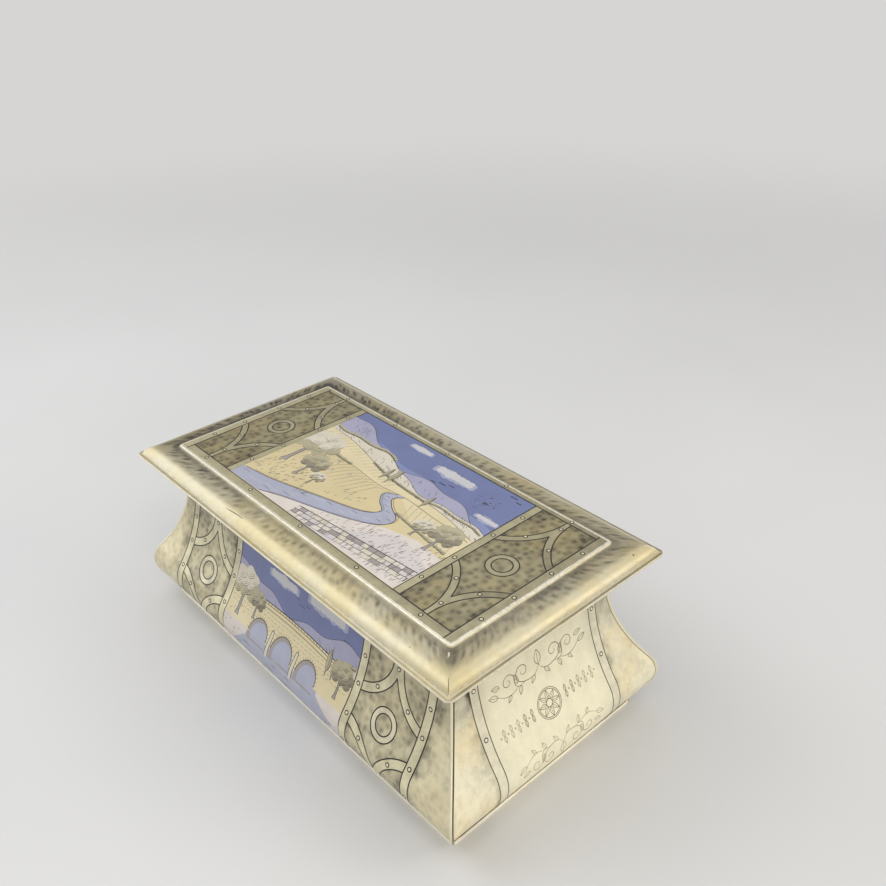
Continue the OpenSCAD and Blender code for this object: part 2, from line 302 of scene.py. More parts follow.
def printed_tin(name, light, gold, metallic=0.35, haze=0.08, pits=(1, 1, 1), coat=0.15):
    """Lacquered print on tin: soft dark dots, smoky blotches, airbrushed shade and worn
    bright metal, where the mesh's mottle, blotch, tone and wear say so. Its tone also carries
    painted shade, and its wear painted highlights."""
    n = Nodes(name)
    sheet = n.sheet()
    pitted = n.wander(n.sheet(pits), 7, 0.7)
    dots = n.ramp(n.cells(4.4, pitted), 0.0, 0.58, 1.0, 0.0)
    dots = n.math("MULTIPLY", dots, n.ramp(n.noise(6, detail=2, where=sheet), 0.3, 0.6, 0.45, 1.0))
    mottle = n.math("MULTIPLY", dots, n.attribute("mottle"))
    smoke = n.noise(6.5, detail=3, rough=0.5, where=n.wander(n.sheet((1, 0.6, 1)), 3, 0.8))
    smoke = n.ramp(smoke, 0.36, 0.72)
    smoke = n.math("MULTIPLY", smoke, n.attribute("blotch"))
    fine = n.ramp(n.noise(0.8, detail=4, rough=0.7, where=sheet), 0.3, 0.7, -0.04, 0.04)
    cloudy = n.ramp(n.noise(5, detail=4, rough=0.6, where=sheet), 0.3, 0.7, -haze, haze)
    tone = n.math("ADD", n.attribute("tone"), mottle)
    tone = n.math("ADD", tone, smoke)
    tone = n.math("ADD", tone, fine)
    tone = n.math("ADD", tone, cloudy, clamp=True)
    warmth = n.ramp(n.noise(24, detail=3), 0.35, 0.65)
    colour = n.mix(tone, n.mix(warmth, light, gold), OLIVE_DARK)
    rub = n.noise(1.8, detail=5, rough=0.65)
    wear_and_highlight = n.math("ADD", n.attribute("wear_and_highlight"), n.ramp(rub, 0.3, 0.7, -0.16, 0.14))
    wear_and_highlight = n.ramp(wear_and_highlight, 0.35, 0.85)
    colour = n.mix(wear_and_highlight, colour, BARE_TIN_AND_HIGHLIGHT)
    rough = n.ramp(n.noise(3, detail=4), 0.3, 0.7, 0.36, 0.46)
    rough = n.blend(wear_and_highlight, rough, 0.36)
    metal = n.blend(wear_and_highlight, n.blend(tone, metallic, metallic * 0.5), 0.6)
    n.bump(n.noise(1.1, detail=5, rough=0.6), 0.02)
    return n.finish(colour, rough, metal, coat=coat, coat_rough=0.2)


def flat_print(name, colour, spread=0.12, coat=0.2, chipped=0.0):
    """One flat printed colour, with the faint grain and unevenness of lithographed ink, and
    small chips down to the pale tin."""
    n = Nodes(name)
    darker = (*(value * 0.72 for value in colour[:3]), 1.0)
    grain = n.ramp(n.noise(0.45, detail=3, rough=0.7), 0.35, 0.75, 0.0, spread * 2)
    patch = n.ramp(n.noise(11, detail=3), 0.35, 0.7, 0.0, spread * 2)
    tint = n.mix(n.math("ADD", grain, patch, clamp=True), colour, darker)
    if chipped:
        chips = n.noise(2.6, detail=6, rough=0.75)
        near = n.ramp(n.noise(26, detail=2), 0.42, 0.62)
        chips = n.math("MULTIPLY", n.ramp(chips, 0.64, 0.69, 0.0, chipped), near)
        tint = n.mix(chips, tint, shade(180, 170, 140))
    rough = n.ramp(n.noise(4, detail=3), 0.3, 0.7, 0.36, 0.44)
    n.bump(n.noise(1.1, detail=5, rough=0.6), 0.015)
    return n.finish(tint, rough, 0.1, coat=coat, coat_rough=0.18)


def bare_metal(name, colour, stain, rough_low, rough_high, metallic=0.85, brushed=(1, 1, 1),
               stained=1.0):
    """Bare tinplate or steel: faint streaks, dull patches and small stains."""
    n = Nodes(name)
    where = n.place(stretch=brushed)
    streak = n.ramp(n.noise(1.2, detail=5, rough=0.6, where=where), 0.3, 0.7)
    patch = n.ramp(n.noise(14, detail=4), 0.45, 0.72)
    speck = n.ramp(n.noise(1.0, detail=4, rough=0.7), 0.66, 0.78)
    tint = n.mix(n.math("MULTIPLY", patch, 0.55 * stained), colour, stain)
    tint = n.mix(n.math("MULTIPLY", speck, 0.5 * stained), tint, stain)
    rough = n.blend(streak, rough_low, rough_high)
    n.bump(streak, 0.01)
    return n.finish(tint, rough, metallic)


# The lid's print, strap, ring and rivet finishes are darker than the walls' matching ones, partly
# as painted shade.
LID_PRINT = printed_tin("lid_print", OLIVE, OLIVE_GOLD)
LID_MOULDING = printed_tin(
    "lid_moulding", shade(199, 190, 160), shade(197, 183, 140), metallic=0.42,
    pits=(1, 0.8, 1), coat=0.4)
WALL_PRINT = printed_tin("wall_print", WALL_OLIVE, WALL_GOLD)
END_PRINT = printed_tin("end_print", CREAM, CREAM_GOLD, metallic=0.4)
LID_STRAP = printed_tin("lid_strap_print", STRAP, STRAP)
WALL_STRAP = printed_tin("wall_strap_print", STRAP_PALE, STRAP_PALE)
RING_PRINT = printed_tin("ring_print", shade(228, 219, 188), shade(228, 219, 188))
END_STRAP_PRINT = printed_tin("end_strap_print", shade(242, 234, 206), shade(242, 234, 206))
LID_RING = printed_tin("lid_ring_print", shade(186, 177, 142), shade(186, 177, 142))
END_PANEL = printed_tin("end_panel_print", PANEL_CREAM, PANEL_CREAM, metallic=0.3, haze=0.02)
INK_PRINT = flat_print("ink_print", INK, 0.05, coat=0.08)
RIVET_PRINT = flat_print("rivet_print", RIVET_PALE)
LID_RIVET_PRINT = flat_print("lid_rivet_print", shade(200, 190, 158))
END_RIVET_PRINT = flat_print("end_rivet_print", shade(242, 236, 212))
SEAM_TIN = bare_metal(
    "seam_tin", shade(226, 217, 188), shade(168, 152, 118), 0.32, 0.42, 0.35, stained=0.35)
# A dark colour: painted shade in the corner seams' gaps and along the walls' foot, and plain ink on
# the end straps and rivets.
SEAM_GAP = flat_print("seam_gap", shade(66, 57, 40), 0.15, coat=0.05)
RIM_TIN = bare_metal(
    "rim_tin", shade(242, 236, 216), shade(190, 178, 148), 0.32, 0.42, 0.35, stained=0.3)
INNER_TIN = bare_metal("inner_tin", DULL_TIN, TIN_STAIN, 0.3, 0.46, 0.8, stained=0.6)
HINGE_STEEL = bare_metal("hinge_steel", STEEL, shade(96, 84, 70), 0.28, 0.42, 0.9, (1, 1, 8))
PICTURE = {
    "sky": flat_print("print_sky", SKY, 0.12, chipped=0.7),
    "sky_low": flat_print("print_sky_low", SKY_LOW, 0.1, chipped=0.5),
    "cloud": flat_print("print_cloud", CLOUD, 0.06),
    "cloud_shade": flat_print("print_cloud_shade", CLOUD_SHADE, 0.06),
    "far_hill": flat_print("print_far_hill", FAR_HILL),
    "near_hill": flat_print("print_near_hill", NEAR_HILL),
    "field": flat_print("print_field", FIELD),
    "field_pale": flat_print("print_field_pale", FIELD_PALE),
    "field_gold": flat_print("print_field_gold", FIELD_GOLD),
    "leaf": flat_print("print_leaf", LEAF, 0.2),
    "leaf_dark": flat_print("print_leaf_dark", LEAF_DARK, 0.2),
    "stone": flat_print("print_stone", STONE, 0.16),
    "stone_dark": flat_print("print_stone_dark", STONE_DARK, 0.16),
    "water": flat_print("print_water", WATER),
    "grey_ink": flat_print("print_grey_ink", GREY_INK, 0.05, coat=0.08),
    "brown_ink": flat_print("print_brown_ink", BROWN_INK, 0.15, coat=0.1),
    "faint_ink": flat_print("print_faint_ink", shade(168, 156, 124), 0.2, coat=0.1),
    "gap": SEAM_GAP,
    "fleck": flat_print("sky_fleck", shade(74, 76, 84), 0.2, coat=0.05),
    # The dark scuff colour also paints shade down a creased mitre, and the bare chip colour a
    # highlight down another.
    "scuff_and_crease_shade": flat_print("scuff_and_crease_shade", shade(104, 92, 66), 0.2, coat=0.05),
    "pale_scuff": flat_print("pale_scuff", shade(196, 186, 156), 0.1, coat=0.1),
    "bare_tin_and_highlight": flat_print("bare_chip_and_highlight", shade(222, 214, 204), 0.1, coat=0.1),
    "ink": INK_PRINT,
    "lid_ground": LID_PRINT,
    "lid_strap": LID_STRAP,
    "wall_strap": WALL_STRAP,
    "ring": RING_PRINT,
    "end_strap": END_STRAP_PRINT,
    "lid_ring": LID_RING,
    "end_panel": END_PANEL,
}


# Mesh helpers

def new_piece(name, points, faces, materials, face_material=None, marks=None):
    """A mesh piece from points in millimetres. marks holds one list of values per name."""
    mesh = bpy.data.meshes.new(name)
    mesh.from_pydata([Vector(p) * MM for p in points], [], faces)
    for material in materials:
        mesh.materials.append(material)
    if face_material:
        mesh.polygons.foreach_set("material_index", face_material)
    mesh.polygons.foreach_set("use_smooth", [True] * len(mesh.polygons))
    for mark, values in (marks or {}).items():
        if mark == "sheet":
            layer = mesh.attributes.new(mark, "FLOAT_VECTOR", "POINT")
            layer.data.foreach_set("vector", [v * MM for where in values for v in where])
        else:
            layer = mesh.attributes.new(mark, "FLOAT", "POINT")
            layer.data.foreach_set("value", values)
    mesh.validate()
    piece = bpy.data.objects.new(name, mesh)
    bpy.context.scene.collection.objects.link(piece)
    return piece


def sharpen(piece, degrees):
    """Edges that turn more than this many degrees stay crisp."""
    piece.data.set_sharp_from_angle(angle=math.radians(degrees))


def steps(start, end, pitch):
    """Evenly spaced values from start to end, about pitch apart."""
    count = max(1, round(abs(end - start) / pitch))
    return [start + (end - start) * i / count for i in range(count + 1)]


def soft(value, low, high):
    """0 below low, 1 above high, smooth between them."""
    part = min(1.0, max(0.0, (value - low) / (high - low)))
    return part * part * (3 - 2 * part)


def ridge(value, middle, width):
    """1 at the middle, fading to 0 at width either side."""
    return 1 - soft(abs(value - middle), 0.0, width)


def flowing(points, parts=7):
    """A smooth line through the points."""
    ends = [points[0]] + list(points) + [points[-1]]
    line = []
    for before, start, end, after in zip(ends, ends[1:], ends[2:], ends[3:]):
        for i in range(parts):
            k = i / parts
            pair = []
            for b, s, e, f in zip(before, start, end, after):
                pair.append(0.5 * (2 * s + (e - b) * k + (2 * b - 5 * s + 4 * e - f) * k * k
                                   + (3 * s - b - 3 * e + f) * k ** 3))
            line.append(tuple(pair))
    return line + [points[-1]]


# The wall's section

def wall_section(a):
    """Distance out from the lip's plane, height and outward normal at a millimetres up the
    wall's outer face."""
    if a < FOOT_RUN:
        angle = -TURN_DOWN
        s = -FOOT_INSET + a * math.sin(TURN_DOWN)
        z = FLANGE_TOP + a * math.cos(TURN_DOWN)
    elif a < BELLY_TOP:
        angle = -TURN_DOWN + (a - FOOT_RUN) / BELLY_R
        s = BELLY_S + BELLY_R * math.cos(angle)
        z = BELLY_Z + BELLY_R * math.sin(angle)
    elif a < COVE_TOP:
        angle = TURN_UP - (a - BELLY_TOP) / COVE_R
        s = COVE_S - COVE_R * math.cos(angle)
        z = COVE_Z - COVE_R * math.sin(angle)
    elif a < NECK_TOP:
        angle = 0.0
        s = -NECK_INSET
        z = COVE_Z + a - COVE_TOP
    else:
        angle = (a - NECK_TOP) / ROLL_OUT_R
        s = ROLL_S + ROLL_OUT_R * math.cos(angle)
        z = ROLL_Z + ROLL_OUT_R * math.sin(angle)
    return s, z, math.cos(angle), math.sin(angle)


class Side:
    """One side of the box: which way it faces, and how far its corners are."""

    def __init__(self, name, out, right, half, reach):
        self.name = name
        self.out = Vector(out)
        self.right = Vector(right)
        self.half = half
        self.reach = reach

    def point(self, t, s, z):
        return self.out * (self.half + s) + self.right * t + UP * z

    def on_wall(self, t, a, lift=0.0):
        """The point t along the wall from its middle and a up its face, lift above it."""
        s, z, out, up = wall_section(a)
        return self.point(t, s + out * lift, z + up * lift)

    def corner(self, a, lift=0.0):
        """How far along the wall its mitred corner is at a."""
        s, _, out, _ = wall_section(a)
        return self.reach + s + out * lift


FRONT = Side("front", (0, -1, 0), (1, 0, 0), HALF_W, HALF_L)
BACK = Side("back", (0, 1, 0), (-1, 0, 0), HALF_W, HALF_L)
RIGHT = Side("right", (1, 0, 0), (0, 1, 0), HALF_L, HALF_W)
LEFT = Side("left", (-1, 0, 0), (0, -1, 0), HALF_L, HALF_W)
SIDES = (FRONT, RIGHT, BACK, LEFT)

WALL_ROWS = (
    steps(0, FOOT_RUN, 1.9)[:-1]
    + steps(FOOT_RUN, BELLY_TOP, 1.0)[:-1]
    + steps(BELLY_TOP, COVE_TOP, 1.6)[:-1]
    + steps(COVE_TOP, NECK_TOP, 2.3)
)
ROLL_ROWS = steps(NECK_TOP, ROLL_END, 0.42)[1:]


# Where the print's strapwork lies on the walls and the lid

class Strapwork:
    """A ring between four curved straps that meet in pairs, in a panel between two straight
    straps. u runs across the panel and v along it."""

    def __init__(self, finish, ring, ring_out, ring_in, away, curve_in, curve_out, half, ends):
        self.finish = finish
        self.ring = ring
        self.ring_out = ring_out
        self.ring_in = ring_in
        self.away = away
        self.curve_in = curve_in
        self.curve_out = curve_out
        self.half = half
        self.ends = ends

    def at(self, side, end, u, v):
        """A point given from the ring's centre, mirrored to one quarter of the panel."""
        return self.ring[0] + side * u, self.ring[1] + end * v

    def reach(self, end):
        """How far from the ring's centre the panel runs towards one end."""
        return abs(self.ends[0 if end < 0 else 1] - self.ring[1])

    def curve(self, radius, v_to, upright):
        """Points of a quarter's curved line, from the straight strap to the panel's end, or
        to the middle line where that comes first. An upright one ends straight."""
        middle_u, middle_v = self.away
        start = -math.pi + math.acos((middle_u - self.half) / radius)
        if radius > middle_u:
            end = -math.pi + math.acos(middle_u / radius)
        elif upright:
            end = -math.pi
        else:
            end = -math.pi - math.asin((v_to - middle_v) / radius)
        points = []
        for angle in steps(start, end, math.radians(3)):
            points.append((
                middle_u + radius * math.cos(angle), middle_v + radius * math.sin(angle)))
        if upright and radius <= middle_u:
            points.append((middle_u - radius, v_to))
        return points


WALL_STRAPS = (53.9, 98.5)
WALL_STRAP_W = 5.1
WALL_TOP = NECK_TOP - 0.5
WALL_LOW = 1.0
STRAP_LOW = 0.6
END_STRAP = 38.2
END_STRAP_W = 5.0
PANEL_MIDDLE = sum(WALL_STRAPS) / 2
PANEL_HALF = (WALL_STRAPS[1] - WALL_STRAPS[0] - WALL_STRAP_W) / 2

WALL_PANEL = Strapwork(
    finish="wall_strap", ring=(PANEL_MIDDLE, 43.2), ring_out=8.0, ring_in=5.0, away=(25.2, 32.1),
    curve_in=21.9, curve_out=26.5, half=PANEL_HALF, ends=(WALL_LOW, WALL_TOP),
)

LID_CROSS = 68.3
LID_CROSS_W = 4.6
LID_BAND_X = 103.5
LID_BAND_FRONT = -44.2
LID_BAND_BACK = 46.2
LID_MIDDLE = (LID_CROSS + LID_CROSS_W / 2 + LID_BAND_X) / 2
LID_PANEL = Strapwork(
    finish="lid_strap", ring=(LID_MIDDLE, 1.3), ring_out=7.7, ring_in=4.9, away=(35.4, 43.5),
    curve_in=34.0, curve_out=37.6, half=(LID_BAND_X - LID_CROSS - LID_CROSS_W / 2) / 2,
    ends=(LID_BAND_FRONT, LID_BAND_BACK),
)


def panel_shade(work, u, v):
    """Airbrushed shade of a strapwork panel: dark in the corners cut off by the curved
    straps and beside every strap, pale round the ring."""
    du = abs(abs(u) - work.ring[0])
    dv = abs(v - work.ring[1])
    from_corner = math.hypot(du - work.away[0], dv - work.away[1])
    corner = 1 - soft(from_corner, work.curve_in - 11, work.curve_in)
    beside_curve = ridge(from_corner, work.curve_out + 0.5, 5.0)
    beside_strap = soft(du, work.half - 4, work.half)
    from_ring = math.hypot(du, dv)
    beside_ring = ridge(from_ring, work.ring_out, 3.0)
    return 0.17 * corner + 0.12 * beside_curve + 0.12 * beside_strap + 0.05 * beside_ring


# Flat prints, drawn along and up the sheet and then laid on it

LINE_W = 0.6
PANEL_LIFT = 0.02
CURVED_LIFT = 0.03
STRAP_LIFT = 0.04
CURVED_LINE_LIFT = 0.06
STRAP_LINE_LIFT = 0.07


class Drawing:
    """Flat coloured shapes, each with its height above the sheet, made into thin closed
    plates that lie on it."""

    def __init__(self):
        self.mesh = bmesh.new()
        self.colours = []

    def index(self, colour):
        if colour not in self.colours:
            self.colours.append(colour)
        return self.colours.index(colour)

    def fill(self, points, colour, lift):
        """A filled outline, given anticlockwise or clockwise."""
        area = 0.0
        for (u0, v0), (u1, v1) in zip(points, points[1:] + points[:1]):
            area += u0 * v1 - u1 * v0
        if area < 0:
            points = points[::-1]
        corners = [self.mesh.verts.new((u, v, lift)) for u, v in points]
        face = self.mesh.faces.new(corners)
        face.material_index = self.index(colour)

    def rectangle(self, u0, u1, v0, v1, colour, lift):
        self.fill([(u0, v0), (u1, v0), (u1, v1), (u0, v1)], colour, lift)

    def line(self, points, colour="ink", lift=0.1, width=LINE_W, closed=False, taper=False):
        """A drawn line of even width, or one that thins towards its ends."""
        points = [Vector(p) for p in points]
        kept = [points[0]]
        for point in points[1:]:
            if (point - kept[-1]).length > 0.02:
                kept.append(point)
        if closed and (kept[0] - kept[-1]).length < 0.02:
            kept.pop()
        count = len(kept)
        if count < 2:
            return
        left, right = [], []
        for i, point in enumerate(kept):
            before = kept[i - 1] if closed or i > 0 else point
            after = kept[(i + 1) % count] if closed or i < count - 1 else point
            first = (point - before).normalized() if (point - before).length else None
            second = (after - point).normalized() if (after - point).length else None
            first = first or second
            second = second or first
            along = first + second
            if along.length < 0.2:
                along = second
            along.normalize()
            spread = 1 / max(0.5, along.dot(first))
            half = width / 2 * spread
            if taper and not closed:
                half *= 0.35 + 0.65 * math.sin(math.pi * (i + 0.15) / (count - 0.7))
            across = Vector((-along.y, along.x)) * half
            left.append(self.mesh.verts.new((point.x + across.x, point.y + across.y, lift)))
            right.append(self.mesh.verts.new((point.x - across.x, point.y - across.y, lift)))
        for i in range(count if closed else count - 1):
            j = (i + 1) % count
            face = self.mesh.faces.new((right[i], right[j], left[j], left[i]))
            face.material_index = self.index(colour)

    def ring(self, centre, outer, inner, colour, lift, count=48):
        """A flat ring of quads between two circles."""
        rims = []
        for radius in (inner, outer):
            rims.append([
                self.mesh.verts.new((
                    centre[0] + radius * math.cos(2 * math.pi * i / count),
                    centre[1] + radius * math.sin(2 * math.pi * i / count), lift))
                for i in range(count)
            ])
        for i in range(count):
            j = (i + 1) % count
            face = self.mesh.faces.new((rims[0][i], rims[1][i], rims[1][j], rims[0][j]))
            face.material_index = self.index(colour)

    def circle(self, centre, radius, colour="ink", lift=0.1, width=LINE_W, count=48):
        self.line(
            [(centre[0] + radius * math.cos(2 * math.pi * i / count),
              centre[1] + radius * math.sin(2 * math.pi * i / count)) for i in range(count)],
            colour, lift, width, closed=True)

    def cut(self, axis, values):
        """Cuts every shape along lines of equal u (axis 0) or equal v (axis 1)."""
        normal = (1, 0, 0) if axis == 0 else (0, 1, 0)
        for value in values:
            geometry = self.mesh.verts[:] + self.mesh.edges[:] + self.mesh.faces[:]
            middle = (value, 0, 0) if axis == 0 else (0, value, 0)
            bmesh.ops.bisect_plane(
                self.mesh, geom=geometry, dist=1e-5, plane_co=middle, plane_no=normal)

    def lay(self, name, place, u_cuts=(), v_cuts=(), sunk=0.03, marks=None):
        """Makes the piece: place(u, v, lift) gives the point on the sheet."""
        self.mesh.normal_update()
        many = [face for face in self.mesh.faces if len(face.verts) > 4]
        bmesh.ops.triangulate(self.mesh, faces=many, ngon_method="EAR_CLIP")
        self.cut(0, u_cuts)
        self.cut(1, v_cuts)
        self.mesh.verts.index_update()
        tops = [tuple(vertex.co) for vertex in self.mesh.verts]
        points = [place(u, v, lift) for u, v, lift in tops]
        points += [place(u, v, -sunk) for u, v, lift in tops]
        under = len(tops)
        faces, materials = [], []
        for face in self.mesh.faces:
            ring = [vertex.index for vertex in face.verts]
            faces.append(ring)
            faces.append([i + under for i in reversed(ring)])
            materials += [face.material_index] * 2
        for edge in self.mesh.edges:
            if len(edge.link_faces) != 1:
                continue
            face = edge.link_faces[0]
            ring = [vertex.index for vertex in face.verts]
            first, second = (vertex.index for vertex in edge.verts)
            if ring[(ring.index(first) + 1) % len(ring)] != second:
                first, second = second, first
            faces.append([second, first, first + under, second + under])
            materials.append(face.material_index)
        values = {"sheet": [(u, v, 0.0) for u, v, lift in tops] * 2}
        for mark, rule in (marks or {}).items():
            values[mark] = [rule(u, v) for u, v, lift in tops] * 2
        self.mesh.free()
        piece = new_piece(
            name, points, faces, [PICTURE[colour] for colour in self.colours], materials, values)
        sharpen(piece, 50)
        return piece


def ride_as(piece, body):
    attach(piece, body)
    return piece


def draw_curved_straps(drawing, work, mirror):
    """Four curved straps, in pairs, and the ring between them. mirror is -1 for the panel on
    the other side of the middle."""
    for end in (-1, 1):
        reach = work.reach(end)
        outer = work.curve(work.curve_out, reach, end > 0)
        inner = work.curve(work.curve_in, reach, end > 0)
        stem = [(0.0, reach)] if reach > outer[-1][1] else []
        for side in (-1, 1):
            def laid(points):
                placed = [work.at(side, end, u, v) for u, v in points]
                return [(mirror * u, v) for u, v in placed]
            drawing.fill(laid(outer + stem + inner[::-1]), work.finish, CURVED_LIFT)
            drawing.line(laid(outer), lift=CURVED_LINE_LIFT)
            drawing.line(laid(inner), lift=CURVED_LINE_LIFT)
    centre = (mirror * work.ring[0], work.ring[1])
    ring_finish = "ring" if work.finish == "wall_strap" else "lid_ring"
    drawing.ring(centre, work.ring_out, work.ring_in, ring_finish, CURVED_LIFT)
    drawing.circle(centre, work.ring_out, lift=CURVED_LINE_LIFT)
    drawing.circle(centre, work.ring_in, lift=CURVED_LINE_LIFT)


def draw_strap(drawing, finish, middle, width, low, high, outline="ink", line_w=LINE_W):
    """A straight strap up the sheet, with its two edge lines."""
    first, second = middle - width / 2, middle + width / 2
    drawing.rectangle(first, second, low, high, finish, STRAP_LIFT)
    for edge in (first, second):
        drawing.line([(edge, low), (edge, high)], outline, STRAP_LINE_LIFT, line_w)


# Printed rivets, set along the straps by a node tree

def rivet_tree():
    """Sets a printed rivet, a pale head in a dark ring, on every point that it is given,
    turned to face along the point's own outward direction."""
    tree = bpy.data.node_groups.new("printed_rivets", "GeometryNodeTree")
    face = tree.interface
    face.new_socket("Geometry", in_out="INPUT", socket_type="NodeSocketGeometry")
    for name, value in (("Ring radius", 1.2), ("Head radius", 0.7), ("Ink height", 0.1)):
        socket = face.new_socket(name, in_out="INPUT", socket_type="NodeSocketFloat")
        socket.default_value = value * MM
    for name in ("Ring finish", "Head finish"):
        face.new_socket(name, in_out="INPUT", socket_type="NodeSocketMaterial")
    face.new_socket("Geometry", in_out="OUTPUT", socket_type="NodeSocketGeometry")
    nodes, link = tree.nodes, tree.links.new
    given = nodes.new("NodeGroupInput")
    result = nodes.new("NodeGroupOutput")
    facing = nodes.new("GeometryNodeInputNamedAttribute")
    facing.data_type = "FLOAT_VECTOR"
    facing.inputs["Name"].default_value = "facing"
    turn = nodes.new("FunctionNodeAlignRotationToVector")
    turn.axis = "Z"
    link(facing.outputs["Attribute"], turn.inputs["Vector"])
    join = nodes.new("GeometryNodeJoinGeometry")
    for radius, finish, rise in (
            ("Ring radius", "Ring finish", 2.0), ("Head radius", "Head finish", 2.5)):
        disc = nodes.new("GeometryNodeMeshCylinder")
        disc.inputs["Vertices"].default_value = 20
        link(given.outputs[radius], disc.inputs["Radius"])
        depth = nodes.new("ShaderNodeMath")
        depth.operation = "MULTIPLY"
        depth.inputs[1].default_value = rise
        link(given.outputs["Ink height"], depth.inputs[0])
        link(depth.outputs[0], disc.inputs["Depth"])
        set_on = nodes.new("GeometryNodeInstanceOnPoints")
        link(given.outputs["Geometry"], set_on.inputs["Points"])
        link(disc.outputs["Mesh"], set_on.inputs["Instance"])
        link(turn.outputs["Rotation"], set_on.inputs["Rotation"])
        real = nodes.new("GeometryNodeRealizeInstances")
        link(set_on.outputs["Instances"], real.inputs["Geometry"])
        paint = nodes.new("GeometryNodeSetMaterial")
        link(real.outputs["Geometry"], paint.inputs["Geometry"])
        link(given.outputs[finish], paint.inputs["Material"])
        link(paint.outputs["Geometry"], join.inputs["Geometry"])
    link(join.outputs["Geometry"], result.inputs["Geometry"])
    return tree


RIVETS = rivet_tree()


def set_rivets(name, spots, height=0.1, head=RIVET_PRINT, ring=INK_PRINT):
    """A piece of printed rivets, one at each (point, direction)."""
    points = bpy.data.meshes.new(name + "_spots")
    points.from_pydata([spot * MM for spot, out in spots], [], [])
    layer = points.attributes.new("facing", "FLOAT_VECTOR", "POINT")
    layer.data.foreach_set("vector", [value for spot, out in spots for value in out])
    carrier = bpy.data.objects.new(name + "_carrier", points)
    bpy.context.scene.collection.objects.link(carrier)
    modifier = carrier.modifiers.new("rivets", "NODES")
    modifier.node_group = RIVETS
    values = {"Ink height": height * MM, "Ring finish": ring, "Head finish": head}
    for item in RIVETS.interface.items_tree:
        if item.in_out == "INPUT" and item.name in values:
            modifier[item.identifier] = values[item.name]
    graph = bpy.context.evaluated_depsgraph_get()
    mesh = bpy.data.meshes.new_from_object(carrier.evaluated_get(graph))
    mesh.name = name
    bpy.data.objects.remove(carrier)
    piece = bpy.data.objects.new(name, mesh)
    bpy.context.scene.collection.objects.link(piece)
    return piece


# Walls

MARKS = ("mottle", "blotch", "tone", "wear_and_highlight")


def wall_marks(side, t, a):
    """mottle, blotch, tone and wear of the printed sheet at a point of a wall; the tone holds
    painted shade at the wall's foot and under the lid.
    """
    over = abs(t)
    corner = side.corner(min(a, NECK_TOP))
    wear_and_highlight = 0.35 * soft(over, corner - 2.0, corner - 0.8)
    # foot is darker just above the base rim, partly dirt and partly painted shade of the gap; neck
    # darkens towards the top, painted shade under the lid's overhang.
    foot = 0.5 * (1 - soft(a, 0.4, 2.4)) + 0.14 * (1 - soft(a, 2.0, 8.0))
    neck = soft(a, 48, 86)
    if side in (FRONT, BACK):
        outer = WALL_STRAPS[1] + WALL_STRAP_W / 2
        if over > outer:
            beside = 1 - soft(over, outer, outer + 9)
            tone = 0.02 + 0.1 * beside + 0.5 * neck + foot
            return 0.16, 0.14 + 0.5 * beside * (1 - 0.6 * neck), tone, wear_and_highlight
        if over > WALL_STRAPS[0]:
            shaded = 0.85 * panel_shade(WALL_PANEL, t, a)
            return 0.3, 0.26, 0.2 + shaded + 0.12 * neck + foot, wear_and_highlight
        return 0.0, 0.0, 0.1, wear_and_highlight
    inner = END_STRAP - END_STRAP_W / 2
    if over > inner:
        beside = 1 - soft(over, inner + 2, inner + 11)
        tone = 0.02 + 0.12 * beside + 0.52 * neck + foot
        return 0.0, 0.16 + 0.5 * beside + 0.4 * (1 - soft(a, 4, 16)), tone, wear_and_highlight
    # The end panel also darkens towards the top: painted shade under the lid.
    beside = soft(over, inner - 7, inner)
    return 0.0, 0.03, 0.01 + 0.1 * beside + 0.2 * soft(a, 45, 88) + 0.5 * foot, wear_and_highlight


def make_wall(side, finish):
    """A pressed wall: both faces of the sheet, its flange, its rolled mouth edge and its
    mitred ends, as one closed shell."""
    rows = WALL_ROWS + ROLL_ROWS
    outer, inner, heights = [], [], []
    outer.append((-FLANGE_INSET, FLANGE_TOP))
    inner.append((-FLANGE_INSET, FLANGE_TOP - WALL_T))
    heights.append(0.0)
    for a in rows:
        s, z, out, up = wall_section(a)
        outer.append((s, z))
        inner.append((s - out * WALL_T, z - up * WALL_T))
        heights.append(a)
    fold = FLANGE_TOP - WALL_T
    inner[1] = (-FOOT_INSET - WALL_T / math.cos(TURN_DOWN) - WALL_T * math.tan(TURN_DOWN), fold)
    columns = max(8, round(side.reach))
    spread = [-1 + 2 * i / columns for i in range(columns + 1)]
    points, marks = [], {mark: [] for mark in MARKS + ("sheet",)}
    for line in (outer, inner):
        for (s, z), a in zip(line, heights):
            for part in spread:
                t = part * (side.reach + s)
                points.append(side.point(t, s, z))
                marks["sheet"].append((t, a, SIDES.index(side) * 100.0))
                for mark, value in zip(MARKS, wall_marks(side, t, a)):
                    marks[mark].append(value)
    across = columns + 1
    under = across * len(outer)
    faces, kinds = [], []
    for row in range(len(outer) - 1):
        low, high = row * across, (row + 1) * across
        for i in range(columns):
            faces.append((low + i, low + i + 1, high + i + 1, high + i))
            faces.append((
                under + low + i + 1, under + low + i, under + high + i, under + high + i + 1))
            kinds += [0, 1]
        faces.append((low, high, under + high, under + low))
        last = columns
        faces.append((high + last, low + last, under + low + last, under + high + last))
        kinds += [1, 1]
    top = (len(outer) - 1) * across
    for i in range(columns):
        faces.append((i + 1, i, under + i, under + i + 1))
        faces.append((top + i, top + i + 1, under + top + i + 1, under + top + i))
        kinds += [1, 1]
    wall = new_piece(side.name + "_sheet", points, faces, [finish, INNER_TIN], kinds, marks)
    sharpen(wall, 40)
    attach(wall, "box_body")
    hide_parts(side.name + "_wall")
    return wall


for wall_side in SIDES:
    make_wall(wall_side, WALL_PRINT if wall_side in (FRONT, BACK) else END_PRINT)


# Folded corner seams

